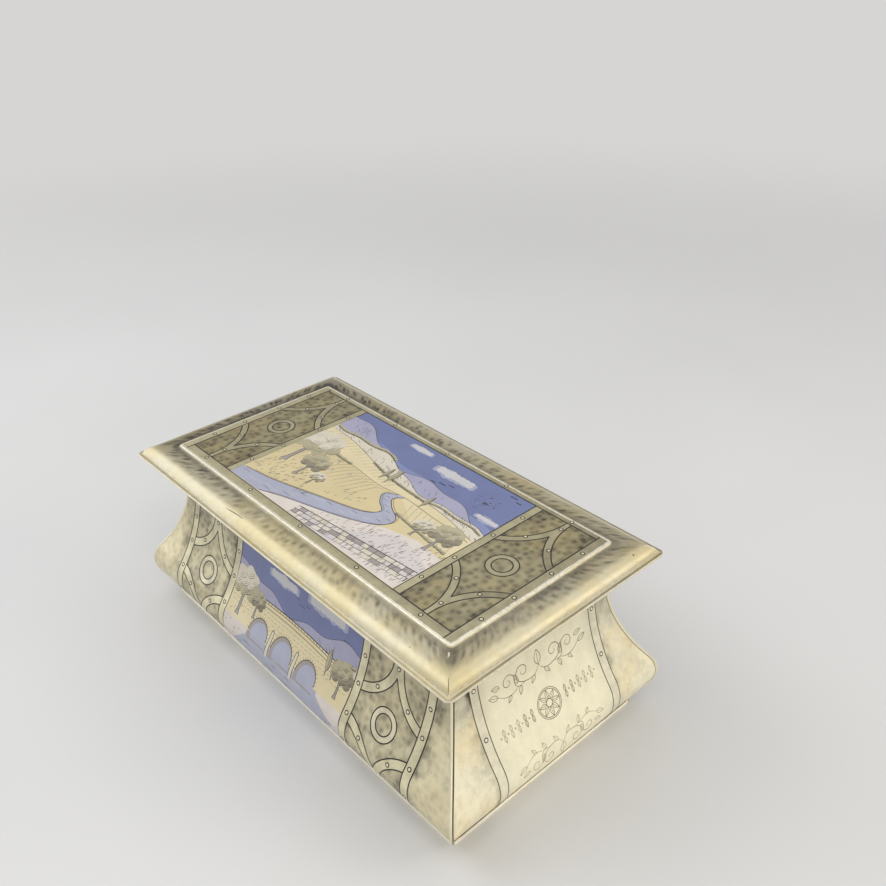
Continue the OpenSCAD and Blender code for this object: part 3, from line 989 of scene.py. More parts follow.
def make_seam(name, first, second):
    """A rounded strip folded over the corner between two walls: first ends where second
    starts."""
    low = RIM_H / math.cos(TURN_DOWN) - FLANGE_TOP
    rows = [low] + [a for a in WALL_ROWS if a > low + 0.3]
    section = [
        (SEAM_W, -0.06), (SEAM_W, 0.2), (SEAM_W - 0.07, 0.33), (SEAM_W - 0.2, 0.385),
        (SEAM_W - 0.4, 0.395), (0.5, 0.395), (0.25, 0.39), (0.1, 0.36),
    ]
    points = []
    for a in rows:
        ring = []
        for side, end in ((first, 1), (second, -1)):
            part = []
            for inset, lift in section:
                lift *= SEAM_T / 0.4
                part.append(side.on_wall(end * (side.corner(a, lift) - inset), a, lift))
            ring += part if end == 1 else part[::-1]
        points += ring
    count = len(section) * 2
    # The strip's faces that turn under its folded edge are coloured dark: painted shade of the gap.
    gap = range(count - 5, count - 1) if second in (RIGHT, LEFT) else ()
    faces, kinds = [], []
    for row in range(len(rows) - 1):
        for i in range(count):
            j = (i + 1) % count
            faces.append((
                row * count + i, row * count + j, (row + 1) * count + j, (row + 1) * count + i))
            kinds.append(1 if i in gap else 0)
    faces.append(tuple(reversed(range(count))))
    faces.append(tuple((len(rows) - 1) * count + i for i in range(count)))
    kinds += [0, 0]
    seam = new_piece(name, points, faces, [SEAM_TIN, SEAM_GAP], kinds)
    sharpen(seam, 60)
    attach(seam, "box_body")
    return seam


for seam_name, first_side, second_side in (
        ("front_right", FRONT, RIGHT), ("back_right", RIGHT, BACK),
        ("back_left", BACK, LEFT), ("front_left", LEFT, FRONT)):
    strip = make_seam("corner_fold_" + seam_name, first_side, second_side)
    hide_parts("seam_" + seam_name)


# Rings that run round the box at one distance from the lip's plane

RING_PITCH = 4.0
CORNER_BENDS = 6


def plan_ring(out, radius=0.0, clip=0.0):
    """Points anticlockwise round the box, out from the lip's plane. Every ring has the same
    number of points: its corners are rounded, or cut straight by clip."""
    half_x, half_y = HALF_L + out, HALF_W + out
    long_count = round(2 * HALF_L / RING_PITCH)
    short_count = round(2 * HALF_W / RING_PITCH)
    corners = ((1, -1), (1, 1), (-1, 1), (-1, -1))
    leg = max(radius, clip)
    points = []
    for turn, (side_x, side_y) in enumerate(corners):
        start = math.radians(-90 + 90 * turn)
        middle = Vector((side_x * (half_x - leg), side_y * (half_y - leg)))
        first = middle + Vector((math.cos(start), math.sin(start))) * leg
        last = middle + Vector((math.cos(start + math.pi / 2), math.sin(start + math.pi / 2))) * leg
        for i in range(CORNER_BENDS + 1):
            if clip > radius:
                point = first.lerp(last, i / CORNER_BENDS)
            else:
                angle = start + math.pi / 2 * i / CORNER_BENDS
                point = middle + Vector((math.cos(angle), math.sin(angle))) * leg
            points.append(point)
        next_x, next_y = corners[(turn + 1) % 4]
        ahead = Vector((next_x * (half_x - leg), next_y * (half_y - leg)))
        ahead += Vector((math.cos(start + math.pi / 2), math.sin(start + math.pi / 2))) * leg
        count = short_count if turn % 2 == 0 else long_count
        for i in range(1, count):
            points.append(last.lerp(ahead, i / count))
    return points


def skin(rings):
    """Faces between rings of equal count, and from the last back to the first."""
    count = len(rings[0])
    faces = []
    for row in range(len(rings)):
        low = row * count
        high = ((row + 1) % len(rings)) * count
        for i in range(count):
            j = (i + 1) % count
            faces.append((low + i, low + j, high + j, high + i))
    return faces


# Base rim

def make_rim():
    """The strip folded round the flanges and the base, rounded at its folds and clipped at
    its corners."""
    top_r, low_r = 0.6, 0.22
    section = [(-RIM_INSET - RIM_FOOT, 0.4), (-RIM_INSET - RIM_FOOT, 0.0)]
    for angle in steps(-90, 0, 15):
        turn = math.radians(angle)
        section.append((
            -RIM_INSET - low_r + low_r * math.cos(turn), low_r + low_r * math.sin(turn)))
    for angle in steps(0, 90, 15):
        turn = math.radians(angle)
        section.append((
            -RIM_INSET - top_r + top_r * math.cos(turn), RIM_H - top_r + top_r * math.sin(turn)))
    section += [
        (-RIM_LIP + 0.1, RIM_H), (-RIM_LIP, RIM_H - 0.08), (-RIM_LIP, FLANGE_TOP + 0.02),
        (-RIM_INSET - 0.4, FLANGE_TOP + 0.02), (-RIM_INSET - 0.4, 0.4),
    ]
    rings, points = [], []
    for out, z in section:
        clip = max(0.02, RIM_CLIP - 2 * (-out - RIM_INSET))
        ring = plan_ring(out, radius=0.01, clip=clip)
        rings.append(ring)
        points += [(p.x, p.y, z) for p in ring]
    rim = new_piece("base_rim", points, skin(rings), [RIM_TIN])
    sharpen(rim, 50)
    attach(rim, "box_body")
    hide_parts("rim_front", "rim_back", "rim_left", "rim_right")
    return rim


make_rim()


# Lid

def lid_line():
    """The moulding's upper face from the hem under the lip to the raised panel, as inset from
    the lip, height and outward normal."""
    line = [(HEM_W, LIP_LOW, 0, -1), (1.4, LIP_LOW, 0, -1)]
    for angle in steps(-90, 90, 18):
        turn = math.radians(angle)
        line.append((
            LIP_R - LIP_R * math.cos(turn), LIP_LOW + LIP_R + LIP_R * math.sin(turn),
            math.cos(turn), math.sin(turn)))
    line += [
        (1.2, LIP_TOP, 0, 1), (1.8, LIP_TOP, 0, 1), (2.1, LIP_TOP + 0.02, 0.3, 0.95),
        (2.28, LIP_TOP + 0.13, 0.9, 0.43),
    ]
    first = math.asin(ROUND_RUN / ROUND_R)
    for angle in steps(first, 0, math.radians(4)):
        line.append((
            ROUND_END - ROUND_R * math.sin(angle), BORDER_Z - ROUND_R + ROUND_R * math.cos(angle),
            math.sin(angle), math.cos(angle)))
    slope = math.atan2(PANEL_Z - STEP_Z, BORDER_W - STEP_FOOT)
    for inset in steps(ROUND_END, STEP_FOOT - 0.5, 1.3)[1:]:
        rise = (inset - ROUND_END) / (STEP_FOOT - ROUND_END)
        line.append((inset, BORDER_Z + (STEP_Z - BORDER_Z) * rise, 0.03, 1))
    fillet = 0.5
    for part in (0.0, 0.25, 0.5, 0.75, 1.0):
        angle = slope * part
        base = STEP_FOOT - fillet * math.tan(slope / 2)
        line.append((
            base + fillet * math.sin(angle), STEP_Z + fillet * (1 - math.cos(angle)),
            math.sin(angle), math.cos(angle)))
    edge = 0.55
    top = BORDER_W + edge * math.tan(slope / 2)
    foot_in, foot_z = line[-1][:2]
    edge_in, edge_z = top - edge * math.sin(slope), PANEL_Z - edge * (1 - math.cos(slope))
    line.append((
        foot_in + 0.65 * (edge_in - foot_in), foot_z + 0.65 * (edge_z - foot_z),
        math.sin(slope), math.cos(slope)))
    for part in (0.0, 0.2, 0.4, 0.6, 0.8, 1.0):
        angle = slope * (1 - part)
        line.append((
            top - edge * math.sin(angle), PANEL_Z - edge * (1 - math.cos(angle)),
            math.sin(angle), math.cos(angle)))
    for inset in (18.3, 18.7, 19.4, 21, 25, 31, 38, 46):
        line.append((inset, PANEL_Z, 0, 1))
    return line


CHIPPED_CORNER = (112, -53)


def corner_shape(inset):
    """Corner rounding and straight cut of the lid's rings at an inset from the lip."""
    clip = LIP_CLIP - 2 * inset
    if clip > 0.35:
        return 0.3, clip
    if inset < 7:
        return 0.3 + 0.25 * soft(inset, 2, 7), 0.0
    if inset < 17:
        return 0.55 + 2.4 * soft(inset, 7, 13), 0.0
    return 1.5, 0.0


def lid_marks(inset, x, y):
    """mottle, blotch, tone and wear of the lid's moulding at an inset from the lip; the tone holds
    painted shade and the wear painted highlights.
    """
    border = soft(inset, 6.0, 10.0) * (1 - soft(inset, 16.6, 17.2))
    # Tones that off_front and on_right change are painted light and shade: the lip band and border
    # are darker off the front side, the shade by the step a little lighter off it, and the right
    # end's border lighter.
    off_front = soft(HALF_W + y - inset, 0.0, 3.0)
    on_right = 1 - soft(HALF_L - x - inset, 0.0, 3.0)
    tone = (0.42 + 0.4 * off_front) * ridge(inset, 1.05, 1.0)
    tone += (0.12 + 0.2 * off_front) * border
    # Darker beside the raised panel's step and in the crease at its foot: partly print, partly
    # painted shade.
    tone += (0.34 - 0.07 * off_front) * ridge(inset, 15.6, 3.4) + 0.5 * ridge(inset, 17.0, 0.5)
    tone += (0.14 * soft(abs(x), 50, 115) + 0.16 * soft(-x, 15, 60)) * border
    tone -= 0.08 * on_right * border
    from_chip = math.hypot(x - CHIPPED_CORNER[0], y - CHIPPED_CORNER[1])
    tone += 0.22 * border * (1 - soft(from_chip, 1.5, 7.0))
    tone += 0.35 * soft(inset, 19.0, 19.8)
    # Bright tin at the lip's edge, along the round's foot and round the raised panel's edge: partly
    # worn tin, partly painted highlight, brighter on the front side.
    wear_and_highlight = 0.75 * (1 - soft(inset, 0.05, 0.4)) + 0.75 * ridge(inset, 2.45, 0.5)
    edge = soft(inset, 17.4, 17.7) * (1 - soft(inset, 18.8, 19.5))
    wear_and_highlight += (0.76 - 0.1 * off_front) * edge
    mottle = 0.46 * (1 - 0.3 * on_right) * border * (1 - soft(inset, 14.0, 16.6))
    blotch = (0.14 * soft(inset, 9.0, 15.0) * (1 - 0.5 * on_right) + 0.16 * on_right) * border
    return mottle, blotch, tone, wear_and_highlight


def make_lid():
    """The pressed lid as one closed shell: the moulded face, the hem and the face below."""
    line = lid_line()
    rings, points = [], []
    marks = {mark: [] for mark in MARKS + ("sheet",)}
    layers = [(inset, z, inset) for inset, z, out, up in line]
    layers += [(inset + out * LID_T, z - up * LID_T, inset) for inset, z, out, up in reversed(line)]
    middle = plan_ring(-ROUND_END, 0.5)
    round_lip = [0.0]
    for before, after in zip(middle, middle[1:]):
        round_lip.append(round_lip[-1] + (after - before).length)
    for inset, z, own in layers:
        radius, clip = corner_shape(own)
        ring = plan_ring(-inset, radius, clip)
        rings.append(ring)
        for p, along in zip(ring, round_lip):
            points.append((p.x, p.y, z))
            marks["sheet"].append((along, own, 0.0))
            for mark, value in zip(MARKS, lid_marks(own, p.x, p.y)):
                marks[mark].append(value)
    count = len(rings[0])
    faces, kinds = [], []
    for row in range(len(rings)):
        low = row * count
        high = ((row + 1) % len(rings)) * count
        if row == len(line) - 1:
            faces.append(tuple(low + i for i in range(count)))
            faces.append(tuple(high + i for i in reversed(range(count))))
            kinds += [0, 1]
            continue
        for i in range(count):
            j = (i + 1) % count
            faces.append((low + i, low + j, high + j, high + i))
            kinds.append(0 if row < len(line) else 1)
    lid = new_piece("lid_sheet", points, faces, [LID_MOULDING, INNER_TIN], kinds, marks)
    sharpen(lid, 45)
    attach(lid, "lid")
    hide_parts("lid_top")
    return lid


make_lid()


# Small damage on the moulding: a scratch, chips and scuffs, with painted shade down a creased mitre
# and a painted highlight, partly worn tin, down another

def on_moulding(side):
    """Puts a drawing on one side's moulding: u along it, v in from the lip."""
    face = [point for point in lid_line() if point[1] > LIP_TOP - 0.1]

    def place(u, v, lift):
        for (i0, z0, out0, up0), (i1, z1, out1, up1) in zip(face, face[1:]):
            if v <= i1:
                break
        part = min(1.0, max(0.0, (v - i0) / max(1e-6, i1 - i0)))
        out = out0 + (out1 - out0) * part
        up = up0 + (up1 - up0) * part
        return side.point(u, -v + out * lift, z0 + (z1 - z0) * part + up * lift)
    return place


SCUFF_LIFT = 0.03
SCUFF_CUTS = steps(2.6, 9.0, 0.8)


def make_scuffs():
    """Small damage: a long scratch, a chip and scuffs, with painted shade down the creased front
    right mitre and bright tin, partly a painted highlight, down the back right mitre.
    """
    front = Drawing()
    for points, colour, lift, width in (
            ([(-40.3, 5.6), (-33.5, 6.1), (-26.5, 6.4)], "scuff_and_crease_shade", 0.04, 0.45),
            ([(-37.5, 5.4), (-32.0, 5.7), (-27.5, 5.9)], "bare_tin_and_highlight", SCUFF_LIFT, 0.24),
            ([(33.5, 8.6), (35.6, 6.6), (38.2, 4.4)], "pale_scuff", SCUFF_LIFT, 0.25),
            ([(-78.0, 12.6), (-74.5, 11.8), (-71.2, 12.4)], "scuff_and_crease_shade", SCUFF_LIFT, 0.25)):
        front.line(flowing(points), colour, lift, width, taper=True)
    front.fill([(96.6, 6.9), (97.0, 6.7), (97.3, 7.0), (96.9, 7.3)], "scuff_and_crease_shade", SCUFF_LIFT)
    front.fill([(109.7, 15.7), (110.9, 14.7), (112.2, 13.3), (111.8, 14.9), (110.8, 16.0)],
               "pale_scuff", SCUFF_LIFT)
    front.fill([(110.4, 15.6), (111.4, 14.6), (111.3, 15.3)], "bare_tin_and_highlight", 0.06)
    # A dark line down the front right mitre: painted shade of its crease.
    crease = [(HALF_L - inset - 0.25, inset) for inset in steps(2.6, 6.8, 0.6)]
    front.line(crease, "scuff_and_crease_shade", SCUFF_LIFT, 0.32, taper=True)
    ride_as(front.lay("front_scuffs", on_moulding(FRONT), v_cuts=SCUFF_CUTS), "lid")
    end = Drawing()
    chip = [(51.2 + 0.5 * math.cos(turn), 6.2 + 0.5 * math.sin(turn))
            for turn in steps(0, 2 * math.pi, 0.7)[:-1]]
    end.fill(chip, "scuff_and_crease_shade", SCUFF_LIFT)
    # A bright line down the back right mitre: partly rubbed tin, partly a painted highlight on its
    # ridge.
    mitre_wear_and_highlight = [(HALF_W - inset - 0.5, inset) for inset in steps(3.0, 7.2, 0.6)]
    end.line(mitre_wear_and_highlight, "bare_tin_and_highlight", SCUFF_LIFT, 0.4, taper=True)
    end.line(
        flowing([(-8.0, 5.2), (-3.5, 4.7), (1.0, 5.3)]), "pale_scuff", SCUFF_LIFT, 0.22,
        taper=True)
    ride_as(end.lay("right_scuffs", on_moulding(RIGHT), v_cuts=SCUFF_CUTS), "lid")


make_scuffs()


# Prints of the lid

def on_lid(u, v, lift):
    return Vector((u, v, PANEL_Z + lift))


def even_marks(mottle=0.0, blotch=0.0, tone=0.0):
    """Marks that are the same all over a print."""
    return {
        "mottle": lambda u, v: mottle,
        "blotch": lambda u, v: blotch,
        "tone": lambda u, v: tone,
        "wear_and_highlight": lambda u, v: 0.0,
    }


# The print stops a little inside the raised panel's edge
PANEL_X = HALF_L - BORDER_W - 0.45
PANEL_Y = HALF_W - BORDER_W - 0.45
LID_RIVETS_X = (43.5, 86.8)
LID_RIVETS_Y = (-46.3, 48.4)


def lay_lid_grounds():
    """The mottled ground of the two end panels, cut fine enough to carry its shade."""
    ground = Drawing()
    for mirror in (-1, 1):
        near, far = sorted((mirror * LID_CROSS, mirror * LID_BAND_X))
        ground.rectangle(near, far, LID_BAND_FRONT, LID_BAND_BACK, "lid_ground", 0.015)
    marks = even_marks(mottle=0.55, blotch=0.34)
    marks["tone"] = lambda u, v: 0.04 + panel_shade(LID_PANEL, u, v)
    ride_as(ground.lay(
        "lid_end_grounds", on_lid, u_cuts=[m * u for m in (-1, 1) for u in steps(68, 104, 1.8)],
        v_cuts=steps(-44, 46, 1.8), marks=marks), "lid")


def lid_strap_tone(u, v):
    """Painted light and shade: the front band is palest, the back one darker, and the straps
    between them darkest, with the end bands darker and the right end's darkest.
    """
    behind_front = soft(v, LID_BAND_FRONT - 1, LID_BAND_FRONT + 1)
    at_back = soft(v, LID_BAND_BACK - 1, LID_BAND_BACK + 1)
    tone = 0.3 * behind_front * (1 - 0.5 * at_back)
    return tone + (0.06 * soft(abs(u), 90, 104) + 0.24 * soft(u, 90, 104))


def lid_strap_wear_and_highlight(u, v):
    """The raised panel's edge is rubbed bright, with a painted highlight along it."""
    from_edge = min(HALF_L - abs(u), HALF_W - abs(v)) - BORDER_W
    return 0.8 * (1 - soft(from_edge, 0.9, 2.0))


def lay_lid_straps():
    """The bands round the panel, the cross straps and the strapwork of both end panels."""
    straps = Drawing()
    for low, high in ((-PANEL_Y, LID_BAND_FRONT), (LID_BAND_BACK, PANEL_Y)):
        straps.rectangle(-LID_BAND_X, LID_BAND_X, low, high, "lid_strap", PANEL_LIFT)
    for mirror in (-1, 1):
        near, far = sorted((mirror * LID_BAND_X, mirror * PANEL_X))
        straps.rectangle(near, far, -PANEL_Y, PANEL_Y, "lid_strap", PANEL_LIFT)
        draw_curved_straps(straps, LID_PANEL, mirror)
        draw_strap(
            straps, "lid_strap", mirror * LID_CROSS, LID_CROSS_W, LID_BAND_FRONT, LID_BAND_BACK)
        edge_x = mirror * LID_BAND_X
        straps.line(
            [(edge_x, -PANEL_Y + 0.8), (edge_x, LID_BAND_BACK + 2)], lift=STRAP_LINE_LIFT)
    for v in (LID_BAND_FRONT, LID_BAND_BACK):
        straps.line([(-LID_BAND_X, v), (LID_BAND_X, v)], lift=0.075)
    marks = even_marks(blotch=0.12)
    marks["tone"] = lid_strap_tone
    marks["wear_and_highlight"] = lid_strap_wear_and_highlight
    edge_cuts = (0.45, 0.9, 1.35, 1.9)
    ride_as(straps.lay(
        "lid_straps", on_lid, u_cuts=[m * (PANEL_X - cut) for m in (-1, 1) for cut in edge_cuts],
        v_cuts=[m * (PANEL_Y - cut) for m in (-1, 1) for cut in edge_cuts], marks=marks), "lid")


def lay_lid_rivets():
    """Rivets along the bands, the cross straps and the curved straps."""
    rivets = []
    for mirror in (-1, 1):
        for y in (-30.1, -10.7, 12.8, 33.5):
            rivets.append((mirror * 106.0, y))
        for y in (-29.7, -9.9, 14.4, 34.2):
            rivets.append((mirror * LID_CROSS, y))
        for dx, y in (
                (-7.6, -19.4), (7.3, -19.6), (-7.6, 24.3), (7.0, 24.1), (0, -35.2), (0, 40.3)):
            rivets.append((mirror * (LID_MIDDLE + dx), y))
        for x in LID_RIVETS_X:
            for y in LID_RIVETS_Y:
                rivets.append((mirror * x, y))
    for y in LID_RIVETS_Y:
        rivets.append((0, y))
    ride_as(set_rivets(
        "lid_printed_rivets", [(on_lid(x, y, 0), (0, 0, 1)) for x, y in rivets], height=0.055,
        head=LID_RIVET_PRINT), "lid")


lay_lid_grounds()
lay_lid_straps()
lay_lid_rivets()


# Prints of the walls

def inner_rows(low, high):
    """The wall's own rows between two heights, where a print on it bends with it."""
    return [a for a in WALL_ROWS if low < a < high]


def edge_lines(drawing, side):
    """Dark lines painted where the wall meets the base rim and its corner seams: painted shade of
    those gaps.
    """
    reach = side.corner(0.55) - SEAM_W
    drawing.line([(-reach, 0.55), (reach, 0.55)], "gap", STRAP_LINE_LIFT, 0.5)
    for way in (-1, 1) if side in (RIGHT, LEFT) else ():
        rows = [1.0] + inner_rows(1.5, NECK_TOP - 1)
        drawing.line(
            [(way * (side.corner(a) - SEAM_W - 0.16), a) for a in rows], "gap",
            STRAP_LINE_LIFT, 0.42 if way < 0 else 0.2)


def wall_strap_tone(u, v):
    """The straps darken up the wall towards the lid, whatever u is: painted shade under its
    overhang.
    """
    return 0.07 + 0.22 * soft(v, 46, 84)


def lay_wall_straps(side):
    """The straight and curved straps of a long wall."""
    straps = Drawing()
    for mirror in (-1, 1):
        draw_curved_straps(straps, WALL_PANEL, mirror)
        for middle in WALL_STRAPS:
            draw_strap(
                straps, "wall_strap", mirror * middle, WALL_STRAP_W, STRAP_LOW, WALL_TOP)
    edge_lines(straps, side)
    marks = even_marks(blotch=0.22)
    marks["tone"] = wall_strap_tone
    ride_as(straps.lay(
        side.name + "_straps", side.on_wall, v_cuts=inner_rows(0.3, NECK_TOP), marks=marks),
        "box_body")


for side in (FRONT, BACK):
    lay_wall_straps(side)


# The end walls' panel, with a plain printed ornament of scrolls, leaves and a rosette

def scroll(centre, size, turn, way, rounds=1.35):
    """A spiral's points, from outside inwards."""
    points = []
    for part in steps(0, 1, 0.045):
        angle = turn + way * 2 * math.pi * rounds * part
        radius = size * (1 - 0.86 * part ** 0.8)
        points.append((
            centre[0] + radius * math.cos(angle), centre[1] + radius * math.sin(angle)))
    return points


def leaf(drawing, foot, length, turn, colour, width=0.24):
    """A leaf's outline and its middle vein."""
    along = Vector((math.cos(turn), math.sin(turn)))
    across = Vector((-along.y, along.x))
    middle = Vector(foot)
    for way in (-1, 1, 0):
        points = []
        for part in steps(0, 1, 0.17):
            spread = 0.24 * length * math.sin(math.pi * part ** 0.8) * way
            points.append(middle + along * length * part + across * spread)
        drawing.line(
            points, colour, CURVED_LINE_LIFT, width if way else width * 0.8, taper=not way)


def frieze(drawing, height, size, way, colour):
    """Scrolls and leaves either side of the middle; way is 1 with the scrolls up."""
    for side in (-1, 1):
        def mirrored(points):
            return [(side * u * size, height + way * v * size) for u, v in points]
        stem = flowing([(0.0, -0.2), (0.35, -0.62), (0.9, -0.8), (1.6, -0.7)], 4)
        branch = flowing([(1.5, -0.71), (1.9, -0.8), (2.3, -0.72), (2.49, -0.38)], 4)
        tendril = flowing([(2.2, -0.78), (2.8, -1.0), (3.5, -0.95), (4.2, -0.55)], 4)
        drawing.line(
            mirrored(stem + scroll((1.6, 0.15), 0.85, -math.pi / 2, 1)[1:]),
            colour, CURVED_LINE_LIFT, 0.36, taper=True)
        drawing.line(
            mirrored(branch + scroll((3.1, 0.05), 0.75, math.radians(215), -1)[1:]),
            colour, CURVED_LINE_LIFT, 0.34, taper=True)
        drawing.line(mirrored(tendril), colour, CURVED_LINE_LIFT, 0.28, taper=True)
        for u, v, length, degrees in (
                (0.5, -0.72, 0.7, -50), (2.2, -0.5, 0.85, 75), (1.95, -0.8, 0.7, -70),
                (3.0, -1.0, 0.6, -50), (3.9, 0.1, 0.8, 15), (4.2, -0.55, 0.9, 20)):
            turn = math.radians(degrees) * way
            if side < 0:
                turn = math.pi - turn
            leaf(drawing, (side * u * size, height + way * v * size), length * size, turn, colour)
    leaf(drawing, (0, height - 0.2 * size * way), 1.3 * size, way * math.pi / 2, colour, 0.3)


ROSETTE_UP = 46


def end_ornament(drawing):
    """A rosette between two rows of small leaves, with a frieze above and one below."""
    frieze(drawing, 67, 6.2, 1, "brown_ink")
    for radius in (1.8, 6.4, 7.2):
        drawing.circle((0, ROSETTE_UP), radius, "brown_ink", CURVED_LINE_LIFT, 0.3, count=36)
    for petal in range(8):
        turn = 2 * math.pi * petal / 8
        foot = (1.9 * math.cos(turn), ROSETTE_UP + 1.9 * math.sin(turn))
        leaf(drawing, foot, 4.3, turn, "brown_ink")
    for side in (-1, 1):
        for i in range(5):
            u = side * (11 + 4.4 * i)
            colour = "brown_ink" if i < 2 else "faint_ink"
            for way in (-1, 1):
                leaf(drawing, (u, ROSETTE_UP), 3.2, math.pi / 2 * way, colour)
            drawing.circle(
                (u + side * 2.2, ROSETTE_UP), 0.4, "faint_ink", CURVED_LINE_LIFT, 0.26, count=10)
    frieze(drawing, 25, 5.6, -1, "faint_ink")


def lay_end_prints(side):
    """The cream panel of an end wall, its ornament and the two straps beside it."""
    straps = Drawing()
    panel_edge = END_STRAP - END_STRAP_W / 2
    straps.rectangle(-panel_edge, panel_edge, STRAP_LOW, WALL_TOP, "end_panel", PANEL_LIFT)
    for mirror in (-1, 1):
        draw_strap(
            straps, "end_strap", mirror * END_STRAP, END_STRAP_W, STRAP_LOW, WALL_TOP, "gap", 0.45)
    end_ornament(straps)
    edge_lines(straps, side)
    marks = even_marks(blotch=0.08)
    # The panel takes the wall's tone, with its painted shade at the foot and under the lid.
    marks["tone"] = lambda u, v: wall_marks(side, min(abs(u), panel_edge), v)[2]
    ride_as(straps.lay(
        side.name + "_straps", side.on_wall, u_cuts=steps(-36, 36, 3.0),
        v_cuts=inner_rows(0.3, NECK_TOP), marks=marks), "box_body")


for side in (RIGHT, LEFT):
    lay_end_prints(side)

RIVET_ROWS = (5.5, 20.5, 35.6, 51.0, 65.5, 80.5)
END_RIVET_ROWS = (50.0, 74.4)


def wall_spots(rivets):
    """Each rivet's point on its wall, given as (side, along, up), and the way it faces."""
    spots = []
    for side, t, a in rivets:
        out, up = wall_section(a)[2:]
        spots.append((side.on_wall(t, a), side.out * out + UP * up))
    return spots


def lay_wall_rivets():
    """Rivets of the long walls' straps, and the paler ones of the end walls."""
    rivets = []
    for side in (FRONT, BACK):
        for mirror in (-1, 1):
            for middle in WALL_STRAPS:
                for a in RIVET_ROWS:
                    rivets.append((side, mirror * middle, a))
            for dx in (-10.45, 10.45):
                for da in (-13.3, 13.3):
                    rivets.append((side, mirror * (PANEL_MIDDLE + dx), WALL_PANEL.ring[1] + da))
            for a in (14.6, 71.8):
                rivets.append((side, mirror * PANEL_MIDDLE, a))
    end_rivets = []
    for side in (RIGHT, LEFT):
        for mirror in (-1, 1):
            for a in END_RIVET_ROWS:
                end_rivets.append((side, mirror * END_STRAP, a))
    ride_as(set_rivets("wall_printed_rivets", wall_spots(rivets)), "box_body")
    ride_as(set_rivets(
        "end_printed_rivets", wall_spots(end_rivets), head=END_RIVET_PRINT, ring=SEAM_GAP),
        "box_body")


lay_wall_rivets()


# Pictures: country views of no real place, in the print's cream, lavender and blue

